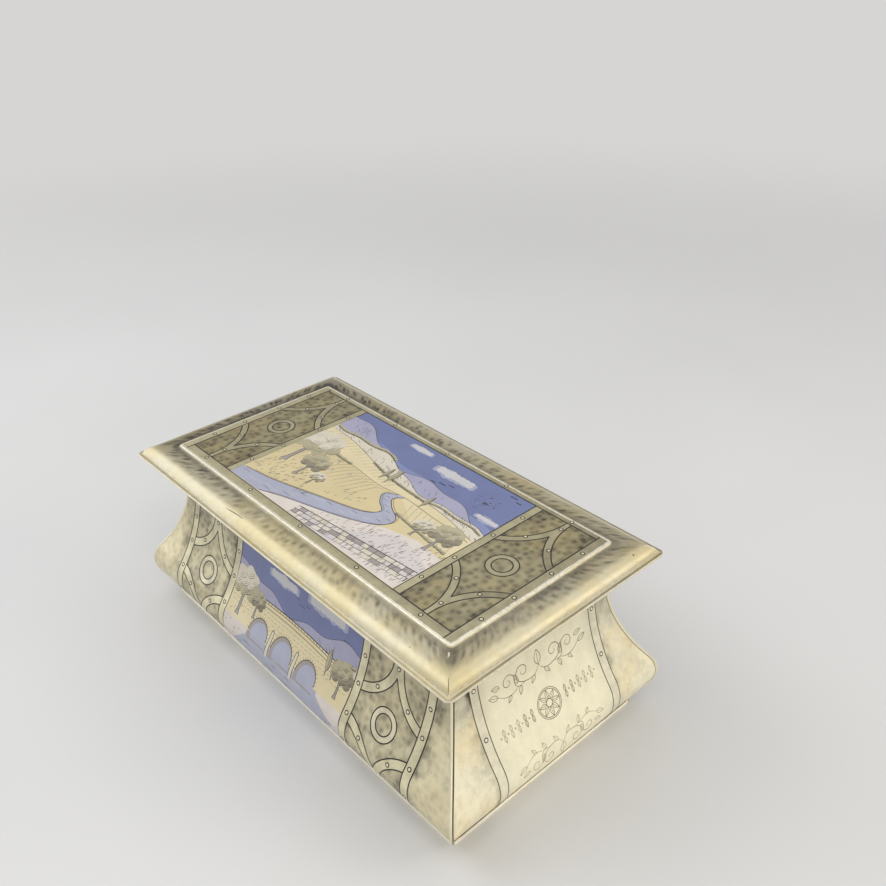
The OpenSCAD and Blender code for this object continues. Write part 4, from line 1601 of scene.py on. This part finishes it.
class View:
    """A picture inside a frame. Later layers lie a little above the earlier ones."""

    def __init__(self, left, right, low, high, seed, rise=0.0):
        self.drawing = Drawing()
        self.left, self.right = left, right
        self.low, self.high = low - rise, high - rise
        self.rise = rise
        self.chance = random.Random(seed)
        self.lift = 0.02

    def layer(self):
        self.lift += 0.003

    def held(self, points):
        """The points, kept inside the frame."""
        return [
            (min(self.right, max(self.left, u)), min(self.high, max(self.low, v)))
            for u, v in points
        ]

    def fill(self, points, colour):
        self.drawing.fill(self.held(points), colour, self.lift)
        self.layer()

    def ink(self, points, width=0.32, colour="grey_ink", taper=True):
        """A pen line, stopped where it would leave the frame."""
        inside = []
        for u, v in points:
            if not (self.left < u < self.right and self.low < v < self.high):
                break
            inside.append((u, v))
        if len(inside) > 1:
            self.drawing.line(inside, colour, self.lift + 0.004, width, taper=taper)

    def across(self, rule, start=None, end=None, pitch=1.5):
        """Points of a line v = rule(u) across the picture."""
        start = self.left if start is None else start
        end = self.right if end is None else end
        return [(u, rule(u)) for u in steps(start, end, pitch)]

    def land(self, rule, colour, outline=0.3):
        """Everything below the line v = rule(u), down to the frame."""
        top = self.across(rule)
        self.fill([(top[0][0], self.low)] + top + [(top[-1][0], self.low)], colour)
        if outline:
            self.ink(top[1:-1], outline, taper=False)

    def blob(self, circles, colour, flat=None, outline=0.25, count=36):
        """The outline of overlapping circles (u, v, radius), cut off below flat."""
        first = min(u - r for u, v, r in circles)
        last = max(u + r for u, v, r in circles)
        upper, lower = [], []
        for i in range(1, count):
            u = first + (last - first) * i / count
            tops, feet = [], []
            for middle, height, radius in circles:
                if abs(u - middle) < radius:
                    half = math.sqrt(radius ** 2 - (u - middle) ** 2)
                    tops.append(height + half)
                    feet.append(height - half)
            if tops:
                upper.append((u, max(tops)))
                lower.append((u, max(min(feet), flat) if flat is not None else min(feet)))
        upper = [(u, max(v, w + 0.05)) for (u, v), (_, w) in zip(upper, lower)]
        self.fill(upper + lower[::-1], colour)
        if outline:
            self.ink(upper, outline)

    def cloud(self, u, v, width, height):
        """A long cloud, pale above and shaded below."""
        for share, colour in ((1.0, "cloud_shade"), (0.82, "cloud")):
            circles = []
            for i in range(7):
                part = (i + 0.5) / 7
                radius = height * share * (0.3 + 0.6 * math.sin(math.pi * part))
                radius *= self.chance.uniform(0.75, 1.2)
                at = u + (part - 0.5) * width * share
                circles.append((at, v + (1 - share) * height, max(radius, width / 11)))
            self.blob(circles, colour, outline=0.22 if share < 1 else None, count=44)

    def clump(self, u, v, size, colour="leaf"):
        """A round tuft of leaves, inked where it turns from the light."""
        phase = self.chance.uniform(0, 6)
        outline = []
        for angle in steps(0, 2 * math.pi, 0.45)[:-1]:
            radius = size * (1 + 0.08 * math.sin(4 * angle + phase))
            outline.append((u + radius * math.cos(angle), v + 0.9 * radius * math.sin(angle)))
        self.fill(outline, colour)
        for share, width in ((0.96, 0.3), (0.66, 0.22), (0.36, 0.22)):
            start = self.chance.uniform(-2.3, -1.7)
            arc = [(u + share * size * math.cos(angle), v + 0.9 * share * size * math.sin(angle))
                   for angle in steps(start, start + 2.1, 0.35)]
            self.ink(arc, width, "ink" if share > 0.5 else "grey_ink")

    def tree(self, u, v, size, colour="leaf", shade_colour="leaf_dark"):
        """A round tree that stands at (u, v). Trees that stand apart share their layers."""
        ground = self.lift
        trunk = size * 0.03
        fork = v + size * 0.42
        self.fill([
            (u - trunk * 1.9, v), (u + trunk * 1.9, v), (u + trunk, v + size * 0.1),
            (u + trunk * 0.8, fork), (u - trunk * 0.8, fork), (u - trunk, v + size * 0.1)],
            "stone_dark")
        for side in (-1, 1):
            self.ink([(u + side * trunk * 1.9, v + 0.1), (u + side * trunk, v + size * 0.1),
                      (u + side * trunk * 0.8, fork)], 0.28, "ink", taper=False)
        for x, y, r, kind in (
                (0.02, 0.62, 0.25, shade_colour), (0.2, 0.45, 0.13, shade_colour),
                (-0.2, 0.46, 0.12, shade_colour), (0.27, 0.6, 0.13, shade_colour),
                (-0.27, 0.6, 0.13, colour), (0.2, 0.75, 0.13, colour),
                (0.0, 0.48, 0.13, shade_colour), (-0.18, 0.75, 0.14, colour),
                (0.03, 0.83, 0.13, colour), (-0.06, 0.64, 0.13, colour),
                (0.13, 0.6, 0.1, colour)):
            shift = self.chance.uniform(-0.02, 0.02) * size
            self.clump(u + x * size + shift, v + y * size, r * size, kind)
        self.lift = ground

    def poplar(self, u, v, height):
        """A tall narrow tree."""
        ground = self.lift
        self.ink([(u, v), (u, v + height * 0.2)], 0.45, "ink", taper=False)
        edge = [
            (height * 0.11 * math.sin(math.pi * part ** 0.75), v + height * (0.12 + 0.88 * part))
            for part in steps(0, 1, 0.08)
        ]
        right = [(u + half, y) for half, y in edge]
        left = [(u - half, y) for half, y in edge]
        self.fill(right + left[-2:0:-1], "leaf")
        self.ink(right[1:-1], 0.32, "ink", taper=False)
        self.ink(left[1:-1], 0.2, "grey_ink", taper=False)
        for i in range(9):
            y = v + height * (0.18 + 0.08 * i)
            self.ink([(u - 0.1, y), (u + 0.02 * height, y + 0.05 * height),
                      (u + 0.055 * height, y + 0.12 * height)], 0.22, "ink")
        self.lift = ground

    def hedge(self, rule, start, end, size):
        """A row of bushes along the line v = rule(u)."""
        ground = self.lift
        u = start
        while u < end:
            radius = size * self.chance.uniform(0.65, 1.15)
            self.clump(u, rule(u) + radius * 0.4, radius)
            self.lift = ground + (0.003 if self.lift < ground + 0.004 else 0.0)
            u += radius * 1.35
        self.lift = ground + 0.006

    def strokes(self, rule, number, length, lean):
        """Short pen strokes at random places where rule(u, v) holds."""
        made = 0
        for _ in range(number * 6):
            u = self.chance.uniform(self.left + 1, self.right - 1)
            v = self.chance.uniform(self.low + 1, self.high - 1)
            if not rule(u, v):
                continue
            reach = length * self.chance.uniform(0.5, 1.3)
            angle = math.radians(lean + self.chance.uniform(-12, 12))
            bend = self.chance.uniform(-0.1, 0.1) * reach
            middle = (u + reach / 2 * math.cos(angle) - bend * math.sin(angle),
                      v + reach / 2 * math.sin(angle) + bend * math.cos(angle))
            end = (u + reach * math.cos(angle), v + reach * math.sin(angle))
            self.ink([(u, v), middle, end], 0.3)
            made += 1
            if made == number:
                return

    def bird(self, u, v, size):
        """Two pen strokes for a far bird's wings."""
        for way in (-1, 1):
            self.ink([
                (u, v), (u + way * size * 0.35, v + size * 0.3),
                (u + way * size * 0.7, v + size * 0.28), (u + way * size, v + size * 0.05)],
                0.3, "ink")

    def stone_wall(self, rule, start, end, height, course):
        """A dry stone wall whose foot follows v = rule(u), stone by stone."""
        foot = self.across(rule, start, end, 3)
        self.fill(foot + [(u, v + height) for u, v in reversed(foot)], "grey_ink")
        ground = self.lift
        count = max(2, round(height / course))
        for row in range(count):
            u = start + self.chance.uniform(-1.5, 0.0)
            while u < end:
                width = course * self.chance.uniform(1.2, 2.4)
                first, last = max(start, u) + 0.18, min(end, u + width) - 0.18
                low = row * height / count + 0.18
                high = (row + 1) * height / count - 0.18
                if last - first > 0.5:
                    trim = 0.22
                    self.fill([
                        (first, rule(first) + low + trim), (first + trim, rule(first) + low),
                        (last - trim, rule(last) + low), (last, rule(last) + low + trim),
                        (last, rule(last) + high - trim), (last - trim, rule(last) + high),
                        (first + trim, rule(first) + high), (first, rule(first) + high - trim)],
                        self.chance.choice(("stone", "field_pale", "near_hill", "stone_dark")))
                    self.lift = ground
                u += width
        self.lift = ground + 0.003
        top = [(u, v + height) for u, v in foot]
        self.ink(top, 0.45, "ink", taper=False)
        self.ink(foot, 0.35, "ink", taper=False)

    def lay(self, name, place, body, v_cuts=()):
        def raised(u, v, lift):
            return place(u, v + self.rise, lift)
        cuts = [v - self.rise for v in v_cuts]
        return ride_as(self.drawing.lay(name, raised, v_cuts=cuts), body)


def wave(height, *swells, lean=0.0):
    """A line v = height + lean * u plus swells, each (size, length, start)."""
    return lambda u: height + lean * u + sum(
        size * math.sin(2 * math.pi * (u - start) / length) for size, length, start in swells)


FLECKS_AT = (47, 30)


def draw_flecks(view):
    """Small dark flecks where the sky's ink has been worn through."""
    for i in range(44):
        turn = view.chance.uniform(0, 2 * math.pi)
        near = i % 3 == 0
        reach = view.chance.uniform(0.1, 1.6) if near else view.chance.uniform(2, 9)
        u = FLECKS_AT[0] + reach * math.cos(turn)
        v = FLECKS_AT[1] + 0.8 * reach * math.sin(turn)
        size = view.chance.uniform(0.45, 0.8) if near else view.chance.choice((0.25, 0.35, 0.5))
        fleck = []
        for corner in range(6):
            turn = 2 * math.pi * corner / 6
            r = size * view.chance.uniform(0.5, 1.1)
            fleck.append((u + r * math.cos(turn), v + 0.8 * r * math.sin(turn)))
        view.fill(fleck, "fleck")


def draw_valley():
    """The lid: a hillside over a river valley, with fields, trees and a wall in front."""
    edge = LID_CROSS - LID_CROSS_W / 2
    view = View(-edge, edge, LID_BAND_FRONT, LID_BAND_BACK, seed=11)
    view.drawing.rectangle(-edge, edge, view.low, view.high, "sky", view.lift)
    view.layer()
    view.land(wave(24, (1.5, 44, 3), lean=-0.14), "sky_low", outline=None)
    view.cloud(20, 35, 30, 4.4)
    view.cloud(58, 20, 16, 2.6)
    view.cloud(-12, 41, 18, 2.6)
    draw_flecks(view)
    for u, v, size in ((20, 26, 2.4), (25, 28, 1.9), (15, 24.5, 1.7), (54, 43, 2.2), (59, 41, 1.7)):
        view.bird(u, v, size)

    far = wave(24, (4.0, 90, 10), (1.4, 31, 4), lean=-0.19)
    view.land(far, "far_hill")
    view.strokes(lambda u, v: far(u) - 9 < v < far(u) - 1, 110, 3.2, -58)
    middle = wave(18.5, (3.2, 76, -40), (0.9, 27, 0), lean=-0.16)
    view.land(middle, "field_pale")
    view.strokes(lambda u, v: middle(u) - 7 < v < middle(u) - 1, 90, 2.6, -35)
    view.hedge(middle, -64, -14, 1.5)
    view.hedge(lambda u: middle(u) - 2.2, 16, 64, 1.1)
    upper = wave(12.5, (1.6, 90, 20), lean=-0.14)
    view.land(upper, "field")
    for i in range(20):
        start = -64 + i * 3.4
        view.ink([(start, upper(start) - 6.5), (start + 4, upper(start + 4) - 0.8)], 0.25)
    view.hedge(lambda u: upper(u) - 0.5, -20, 26, 1.2)

    near = wave(4.5, (1.8, 120, 10), (0.6, 40, 8), lean=-0.06)
    view.land(near, "field_gold")
    view.fill([(14, near(14)), (66, near(66)), (66, -13), (34, -7)], "field")
    for i in range(16):
        start = -64 + i * 3.8
        view.ink(
            [(start, -7 - 0.5 * i), (start + 6, 0), (start + 10, near(start + 10) - 0.6)], 0.25)
    for i in range(11):
        view.ink([(28 + i * 3.5, -8 - i * 0.4), (24 + i * 3.7, near(24 + i * 3.7) - 0.8)], 0.25)
    view.hedge(lambda u: near(u) - 0.2, -64, -28, 1.3)
    view.hedge(lambda u: -7 - (u - 22) * 0.13, 24, 64, 1.3)
    for u, v, size in (
            (-52, -4, 4.6), (-41, -6, 4.8), (-30, -8.5, 5.0), (-20, -4, 4.2), (-46, 1, 3.6),
            (-34, 0, 3.8)):
        view.fill([(u - size / 2, v), (u + size / 2, v), (u + size * 0.3, v + size * 0.7),
                   (u, v + size), (u - size * 0.3, v + size * 0.7)], "field")
        for part in (-0.48, -0.3, -0.12, 0.12, 0.3, 0.48):
            view.ink([(u + size * part, v + 0.1), (u + size * part * 0.35, v + size * 0.85)], 0.25)

    bank_left = flowing([
        (13, near(13)), (6, 0), (10, -6), (17, -11), (10, -18), (-14, -25), (-44, -33),
        (-65.9, -36)])
    bank_right = flowing([
        (17, near(17)), (13, 0), (18, -5), (28, -11), (24, -20), (4, -29), (-26, -38),
        (-42, -43.9)])
    view.fill(bank_left + [(-66, -44)] + bank_right[::-1], "water")
    for bank in (bank_left, bank_right):
        view.ink(bank[1:-1], 0.4, "ink", taper=False)
        view.ink([(u + 0.6, v + 0.9) for u, v in bank[5:-3]], 0.25, taper=False)
    for i in range(40):
        step = int((i + 0.5) / 40 * len(bank_left))
        start, end = Vector(bank_left[step]), Vector(bank_right[step])
        spot = start.lerp(end, view.chance.uniform(0.2, 0.8))
        reach = 0.6 + 3.0 * i / 40
        view.ink([(spot.x - reach, spot.y), (spot.x, spot.y + 0.15), (spot.x + reach, spot.y)],
                 0.3, "cloud" if i % 3 else "grey_ink")

    view.fill([
        (30, -18), (48, -14), (66, -16), (66, -44), (-41, -44), (-26, -38), (4, -29), (23, -21)],
        "stone")
    view.fill(flowing([
        (34, -21), (48, -19), (66, -25), (66, -31), (20, -43.9), (-4, -43.9), (18, -33)]),
        "near_hill")
    view.strokes(lambda u, v: v < -21 + (u - 28) * 0.2 and v < -30 + (u - 6) * 0.45 and u > -24,
                 330, 2.2, 74)
    view.strokes(lambda u, v: -32 < v < -12 and u < -20 - (v + 30) * 1.2, 260, 2.0, 68)
    view.strokes(lambda u, v: -24 < v < -10 and -16 < u < 6 and v > -22 + (u + 16) * 0.2,
                 90, 1.8, 70)
    view.stone_wall(lambda u: -41.5 + (u - 26) * 0.09, -14, 65.5, 8.4, 2.8)
    view.tree(54, -17, 25)
    view.tree(41, -14, 16, "field_pale", "leaf")
    view.tree(-57, -18, 40, "field_pale", "leaf")
    view.tree(-41, -22, 24, "leaf")
    view.tree(-29, -23, 13, "field_pale", "leaf")
    for u, height in ((-2, 15), (-7, 12), (27, 12)):
        view.poplar(u, upper(u) - 5, height)
    return view


def draw_bridge():
    """The front: a stone bridge of three arches over a river."""
    edge = WALL_STRAPS[0] - WALL_STRAP_W / 2
    view = View(-edge, edge, 0.8, NECK_TOP - 1, seed=23, rise=9)
    view.drawing.rectangle(-edge, edge, view.low, view.high, "sky", view.lift)
    view.layer()
    view.cloud(24, 62, 32, 4.4)
    view.cloud(-12, 60, 26, 3.8)
    view.cloud(4, 78, 40, 6)
    for u, v, size in ((4, 54.5, 2.2), (9, 56.5, 1.8), (0, 57, 1.6), (40, 55, 2.0)):
        view.bird(u, v, size)
    far = wave(50, (4, 96, -74), (1.5, 30, 3))
    view.land(far, "far_hill")
    view.strokes(lambda u, v: 40 < v < far(u) - 1, 60, 3.4, -56)
    middle = wave(42, (4.5, 110, 30), (1.2, 37, 0))
    view.land(middle, "field_pale")
    for i in range(13):
        view.ink([(-50 + i * 5, 34), (-46 + i * 5, 41 + 2 * math.sin(i))], 0.25)
    view.hedge(lambda u: middle(u) - 1, -50, -12, 1.6)
    view.hedge(lambda u: middle(u) - 1.4, 20, 50, 1.3)
    view.land(lambda u: 27 + 0.02 * u, "water", outline=None)
    view.fill([(-52, 34), (-26, 32), (-30, 21), (-42, 12), (-52, 10)], "stone")
    view.fill([(52, 35), (30, 32), (32, 22), (43, 15), (52, 14)], "stone")

    deck_low, deck_high = 35.5, 41
    arches = ((-21, 11.5), (0, 12.5), (21, 11.5))
    spring, tall, wide = 24.5, 1.18, 0.68

    def parapet(u):
        return deck_high + 3.5 * math.cos(math.pi * u / 110)
    side = view.across(parapet, -52, 52, 2)
    view.fill([(-52, 24), (52, 24)] + side[::-1], "field")
    for middle_u, width in arches:
        radius = width * wide
        arch = [(middle_u + radius * math.cos(a), spring + tall * radius * math.sin(a))
                for a in steps(0, math.pi, 0.16)]
        view.fill([(middle_u + radius, 20), *arch, (middle_u - radius, 20)], "stone_dark")
        inner = [(middle_u + 1.2 + radius * 0.86 * math.cos(a),
                  spring + 1.1 * radius * 0.86 * math.sin(a)) for a in steps(0.1, math.pi, 0.16)]
        view.fill([
            (middle_u + 1.2 + radius * 0.86, 21), *inner, (middle_u + 1.2 - radius * 0.8, 21)],
            "water")
        view.ink(arch, 0.4, "ink", taper=False)
        for a in steps(0.1, math.pi - 0.1, 0.2):
            view.ink([(middle_u + radius * math.cos(a), spring + tall * radius * math.sin(a)),
                      (middle_u + (radius + 1.6) * math.cos(a),
                       spring + (tall * radius + 1.6) * math.sin(a))], 0.25, "ink")
    for drop in (0.0, 1.4, 3.4):
        line = view.across(lambda u: parapet(u) - drop, -50, 50, 2)
        view.ink(line, 0.45 if drop == 0 else 0.3, "ink", taper=False)
    for u in steps(-49, 49, 2.6):
        view.ink([(u, parapet(u) - 1.4), (u, parapet(u) - 0.1)], 0.25, "ink", taper=False)
    for row in range(4):
        for u in steps(-50 + row % 2 * 1.6, 50, 3.3):
            height = deck_low + 3.2 - row * 2.1
            clear = all(
                math.hypot(u - m, (height - spring) / tall) > w * wide + 2.2 for m, w in arches)
            if clear:
                view.ink([(u, height), (u + 2.2, height)], 0.22)
    for u, width in ((-10.6, 2.6), (10.6, 2.6)):
        view.fill([(u - width / 2, 18.5), (u + width / 2, 18.5), (u + width / 2 - 0.3, 32),
                   (u, 33.5), (u - width / 2 + 0.3, 32)], "field_pale")
        view.ink(
            [(u - width / 2, 19), (u - width / 2 + 0.3, 32), (u, 33.4)], 0.35, "ink", taper=False)
        view.ink(
            [(u + width / 2, 19), (u + width / 2 - 0.3, 32), (u, 33.4)], 0.35, "ink", taper=False)

    for i in range(44):
        u = view.chance.uniform(-34, 34)
        v = view.chance.uniform(3, 21)
        reach = view.chance.uniform(1.2, 4.2)
        colour = "cloud" if i % 3 else "grey_ink"
        view.ink([(u - reach, v), (u, v + 0.25), (u + reach, v)], 0.3, colour)
    view.fill([(-52, 15), (-38, 10), (-24, 4), (-16, -9), (-52, -9)], "near_hill")
    view.fill([(52, 18), (42, 11), (30, 4), (20, -9), (52, -9)], "near_hill")
    view.strokes(lambda u, v: v < 14 and abs(u) > 24 + v * 0.8, 120, 2.2, 72)
    view.strokes(lambda u, v: 14 < v < 31 and u < -33, 50, 1.8, 66)
    view.tree(-42, 26, 30, "field_pale", "leaf")
    view.tree(-29, 30, 17)
    view.tree(43, 27, 21)
    view.poplar(32, 33, 15)
    view.poplar(36.5, 33, 12)
    return view


def draw_windmill():
    """The back: a windmill on a hill above the fields."""
    edge = WALL_STRAPS[0] - WALL_STRAP_W / 2
    view = View(-edge, edge, 0.8, NECK_TOP - 1, seed=31, rise=9)
    view.drawing.rectangle(-edge, edge, view.low, view.high, "sky", view.lift)
    view.layer()
    view.cloud(-28, 62, 28, 5)
    view.cloud(32, 52, 24, 4)
    view.cloud(0, 84, 34, 5)
    view.bird(-18, 50, 2.2)
    view.bird(-12, 53, 1.8)
    far = wave(36, (3.5, 84, 6), (1.2, 29, 0))
    view.land(far, "far_hill")
    view.strokes(lambda u, v: 28 < v < far(u) - 1, 60, 3.2, -58)
    hill = wave(27, (7.5, 120, -20), (0.8, 41, 0))
    view.land(hill, "field")
    view.hedge(lambda u: hill(u) - 1.5, -50, -22, 1.5)
    view.fill([(-52, 22), (-10, 25), (4, 12), (-52, 8)], "field_gold")
    for i in range(13):
        view.ink([(-50 + i * 4.2, 10), (-46 + i * 3.7, 22)], 0.25)
    view.land(lambda u: 9 + 2.5 * math.sin((u + 20) / 16), "stone")
    view.strokes(lambda u, v: v < 10, 150, 2.1, 72)

    foot = hill(14) - 1
    view.fill([(8, foot), (20, foot), (17.2, foot + 20), (10.8, foot + 20)], "field_pale")
    view.blob([(14, foot + 20, 3.6)], "leaf_dark", flat=foot + 19.6)
    for side in (-1, 1):
        view.ink(
            [(14 + side * 6, foot + 0.2), (14 + side * 3.2, foot + 20)], 0.4, "ink", taper=False)
    view.fill([
        (13, foot + 0.2), (15.4, foot + 0.2), (15.4, foot + 4.2), (13, foot + 4.2)], "leaf_dark")
    view.strokes(lambda u, v: foot < v < foot + 18 and 15 < u < 17.6, 26, 2.4, 88)
    hub = Vector((13.2, foot + 20.6))
    for quarter in range(4):
        angle = math.radians(28 + 90 * quarter)
        along = Vector((math.cos(angle), math.sin(angle)))
        across = Vector((-along.y, along.x))
        tip = hub + along * 15
        view.ink([hub, tip], 0.5, "ink", taper=False)
        cloth = [hub + along * 4 + across * 0.3, tip + across * 0.3, tip + across * 3.2,
                 hub + along * 4 + across * 2.8]
        view.fill([(p.x, p.y) for p in cloth], "cloud")
        for i in range(6):
            start = hub + along * (4.2 + 2.1 * i) + across * 0.3
            view.ink([start, start + across * 2.7], 0.28, "ink", taper=False)
        view.ink([cloth[3], cloth[2]], 0.35, "ink", taper=False)
    view.tree(-36, 20, 27, "field_pale", "leaf")
    view.tree(-22, 19, 16)
    view.tree(40, 22, 22)
    view.stone_wall(lambda u: 3 + 0.03 * u, -50.8, 50.8, 8.4, 2.8)
    return view


draw_valley().lay("lid_picture", on_lid, "lid")
for side, draw in ((FRONT, draw_bridge), (BACK, draw_windmill)):
    draw().lay(
        side.name + "_picture", side.on_wall, "box_body", v_cuts=inner_rows(0.6, NECK_TOP))


# Finishes of the parts that keep the frame's own shapes

def finish_node(name, material):
    """Gives a part of the frame its own finish."""
    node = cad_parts[name]
    node.data.materials.clear()
    node.data.materials.append(material)


for name in ("base_plate", "lid_frame", "skirt_front", "skirt_back", "skirt_left", "skirt_right"):
    finish_node(name, INNER_TIN)
for name in (
        "mouth_wire", "hinge_left_body_leaf", "hinge_right_body_leaf", "hinge_left_pin",
        "hinge_right_pin", "hinge_body_rivets", "hinge_left_lid_leaf", "hinge_right_lid_leaf",
        "hinge_lid_rivets"):
    finish_node(name, HINGE_STEEL)


# Floor, light and camera

def make_floor():
    """A pale floor that keeps the box's shadow and turns an even grey further off."""
    half = 8.0
    mesh = bpy.data.meshes.new("floor")
    corners = [(-half, -half, 0), (half, -half, 0), (half, half, 0), (-half, half, 0)]
    mesh.from_pydata(corners, [], [(0, 1, 2, 3)])
    n = Nodes("pale_floor")
    tint = n.mix(n.ramp(n.noise(400), 0.3, 0.7), shade(203, 202, 200), shade(208, 207, 205))
    n.finish(tint, 0.8, 0.0)
    far = n.tree.nodes.new("ShaderNodeVectorMath")
    far.operation = "LENGTH"
    n.link(n.coords.outputs["Object"], far.inputs[0])
    seen = n.tree.nodes.new("ShaderNodeLightPath")
    direct = n.math("MAXIMUM", seen.outputs["Is Camera Ray"], seen.outputs["Is Glossy Ray"])
    direct = n.math("MAXIMUM", direct, seen.outputs["Is Transmission Ray"])
    share = n.math("MULTIPLY", n.ramp(far.outputs["Value"], 0.35, 1.3), direct)
    glow = n.tree.nodes.new("ShaderNodeEmission")
    glow.inputs["Color"].default_value = shade(214, 213, 211)
    join = n.tree.nodes.new("ShaderNodeMixShader")
    n.link(share, join.inputs[0])
    n.link(n.shader.outputs[0], join.inputs[1])
    n.link(glow.outputs[0], join.inputs[2])
    n.link(join.outputs[0], n.output.inputs["Surface"])
    mesh.materials.append(n.material)
    floor = bpy.data.objects.new("floor", mesh)
    bpy.context.scene.collection.objects.link(floor)


def make_lamp(name, place, aim, width, height, power, colour=(1, 1, 1)):
    """A soft rectangular lamp at a place, turned to its aim."""
    lamp = bpy.data.lights.new(name, "AREA")
    lamp.shape = "RECTANGLE"
    lamp.size = width
    lamp.size_y = height
    lamp.energy = power
    lamp.color = colour
    holder = bpy.data.objects.new(name, lamp)
    holder.location = place
    holder.rotation_euler = (Vector(place) - Vector(aim)).to_track_quat("Z", "Y").to_euler()
    bpy.context.scene.collection.objects.link(holder)


def make_world():
    world = bpy.data.worlds.new("studio")
    bpy.context.scene.world = world
    world.use_nodes = True
    back = world.node_tree.nodes["Background"]
    back.inputs["Color"].default_value = (0.93, 0.95, 1.0, 1)
    back.inputs["Strength"].default_value = 0.4


# The camera's place, its axes and its lens, as fitted to the photograph
CAMERA_AT = Vector((0.314764, -0.234385, 0.357930))
CAMERA_RIGHT = Vector((0.672741, 0.739618, -0.019640))
CAMERA_UP = Vector((-0.364749, 0.354630, 0.860927))
CAMERA_BACK = Vector((0.643722, -0.572017, 0.508349))
LENS = 37.828


def make_camera():
    lens = bpy.data.cameras.new("camera")
    lens.sensor_width = 36
    lens.lens = LENS
    lens.clip_start = 0.01
    lens.clip_end = 50
    camera = bpy.data.objects.new("camera", lens)
    turn = Matrix((CAMERA_RIGHT, CAMERA_UP, CAMERA_BACK)).transposed().to_4x4()
    camera.matrix_world = Matrix.Translation(CAMERA_AT) @ turn
    bpy.context.scene.collection.objects.link(camera)
    bpy.context.scene.camera = camera


make_floor()
make_lamp("overhead", (0, 0, 1.1), (0, 0, 0), 1.9, 1.9, 11)
make_lamp("left_window", (-0.93, -0.58, 0.70), (0, 0, 0.06), 0.9, 1.35, 7.3, (0.95, 0.97, 1.0))
make_lamp("right_window", (0.86, 0.70, 0.72), (0, 0, 0.06), 0.45, 0.45, 2.6, (1.0, 0.93, 0.8))
make_lamp("right_fill", (1.15, -0.42, 0.42), (0, 0, 0.04), 0.6, 0.6, 5.6, (1.0, 0.97, 0.92))
make_world()
make_camera()
bpy.context.scene.view_settings.view_transform = "Standard"
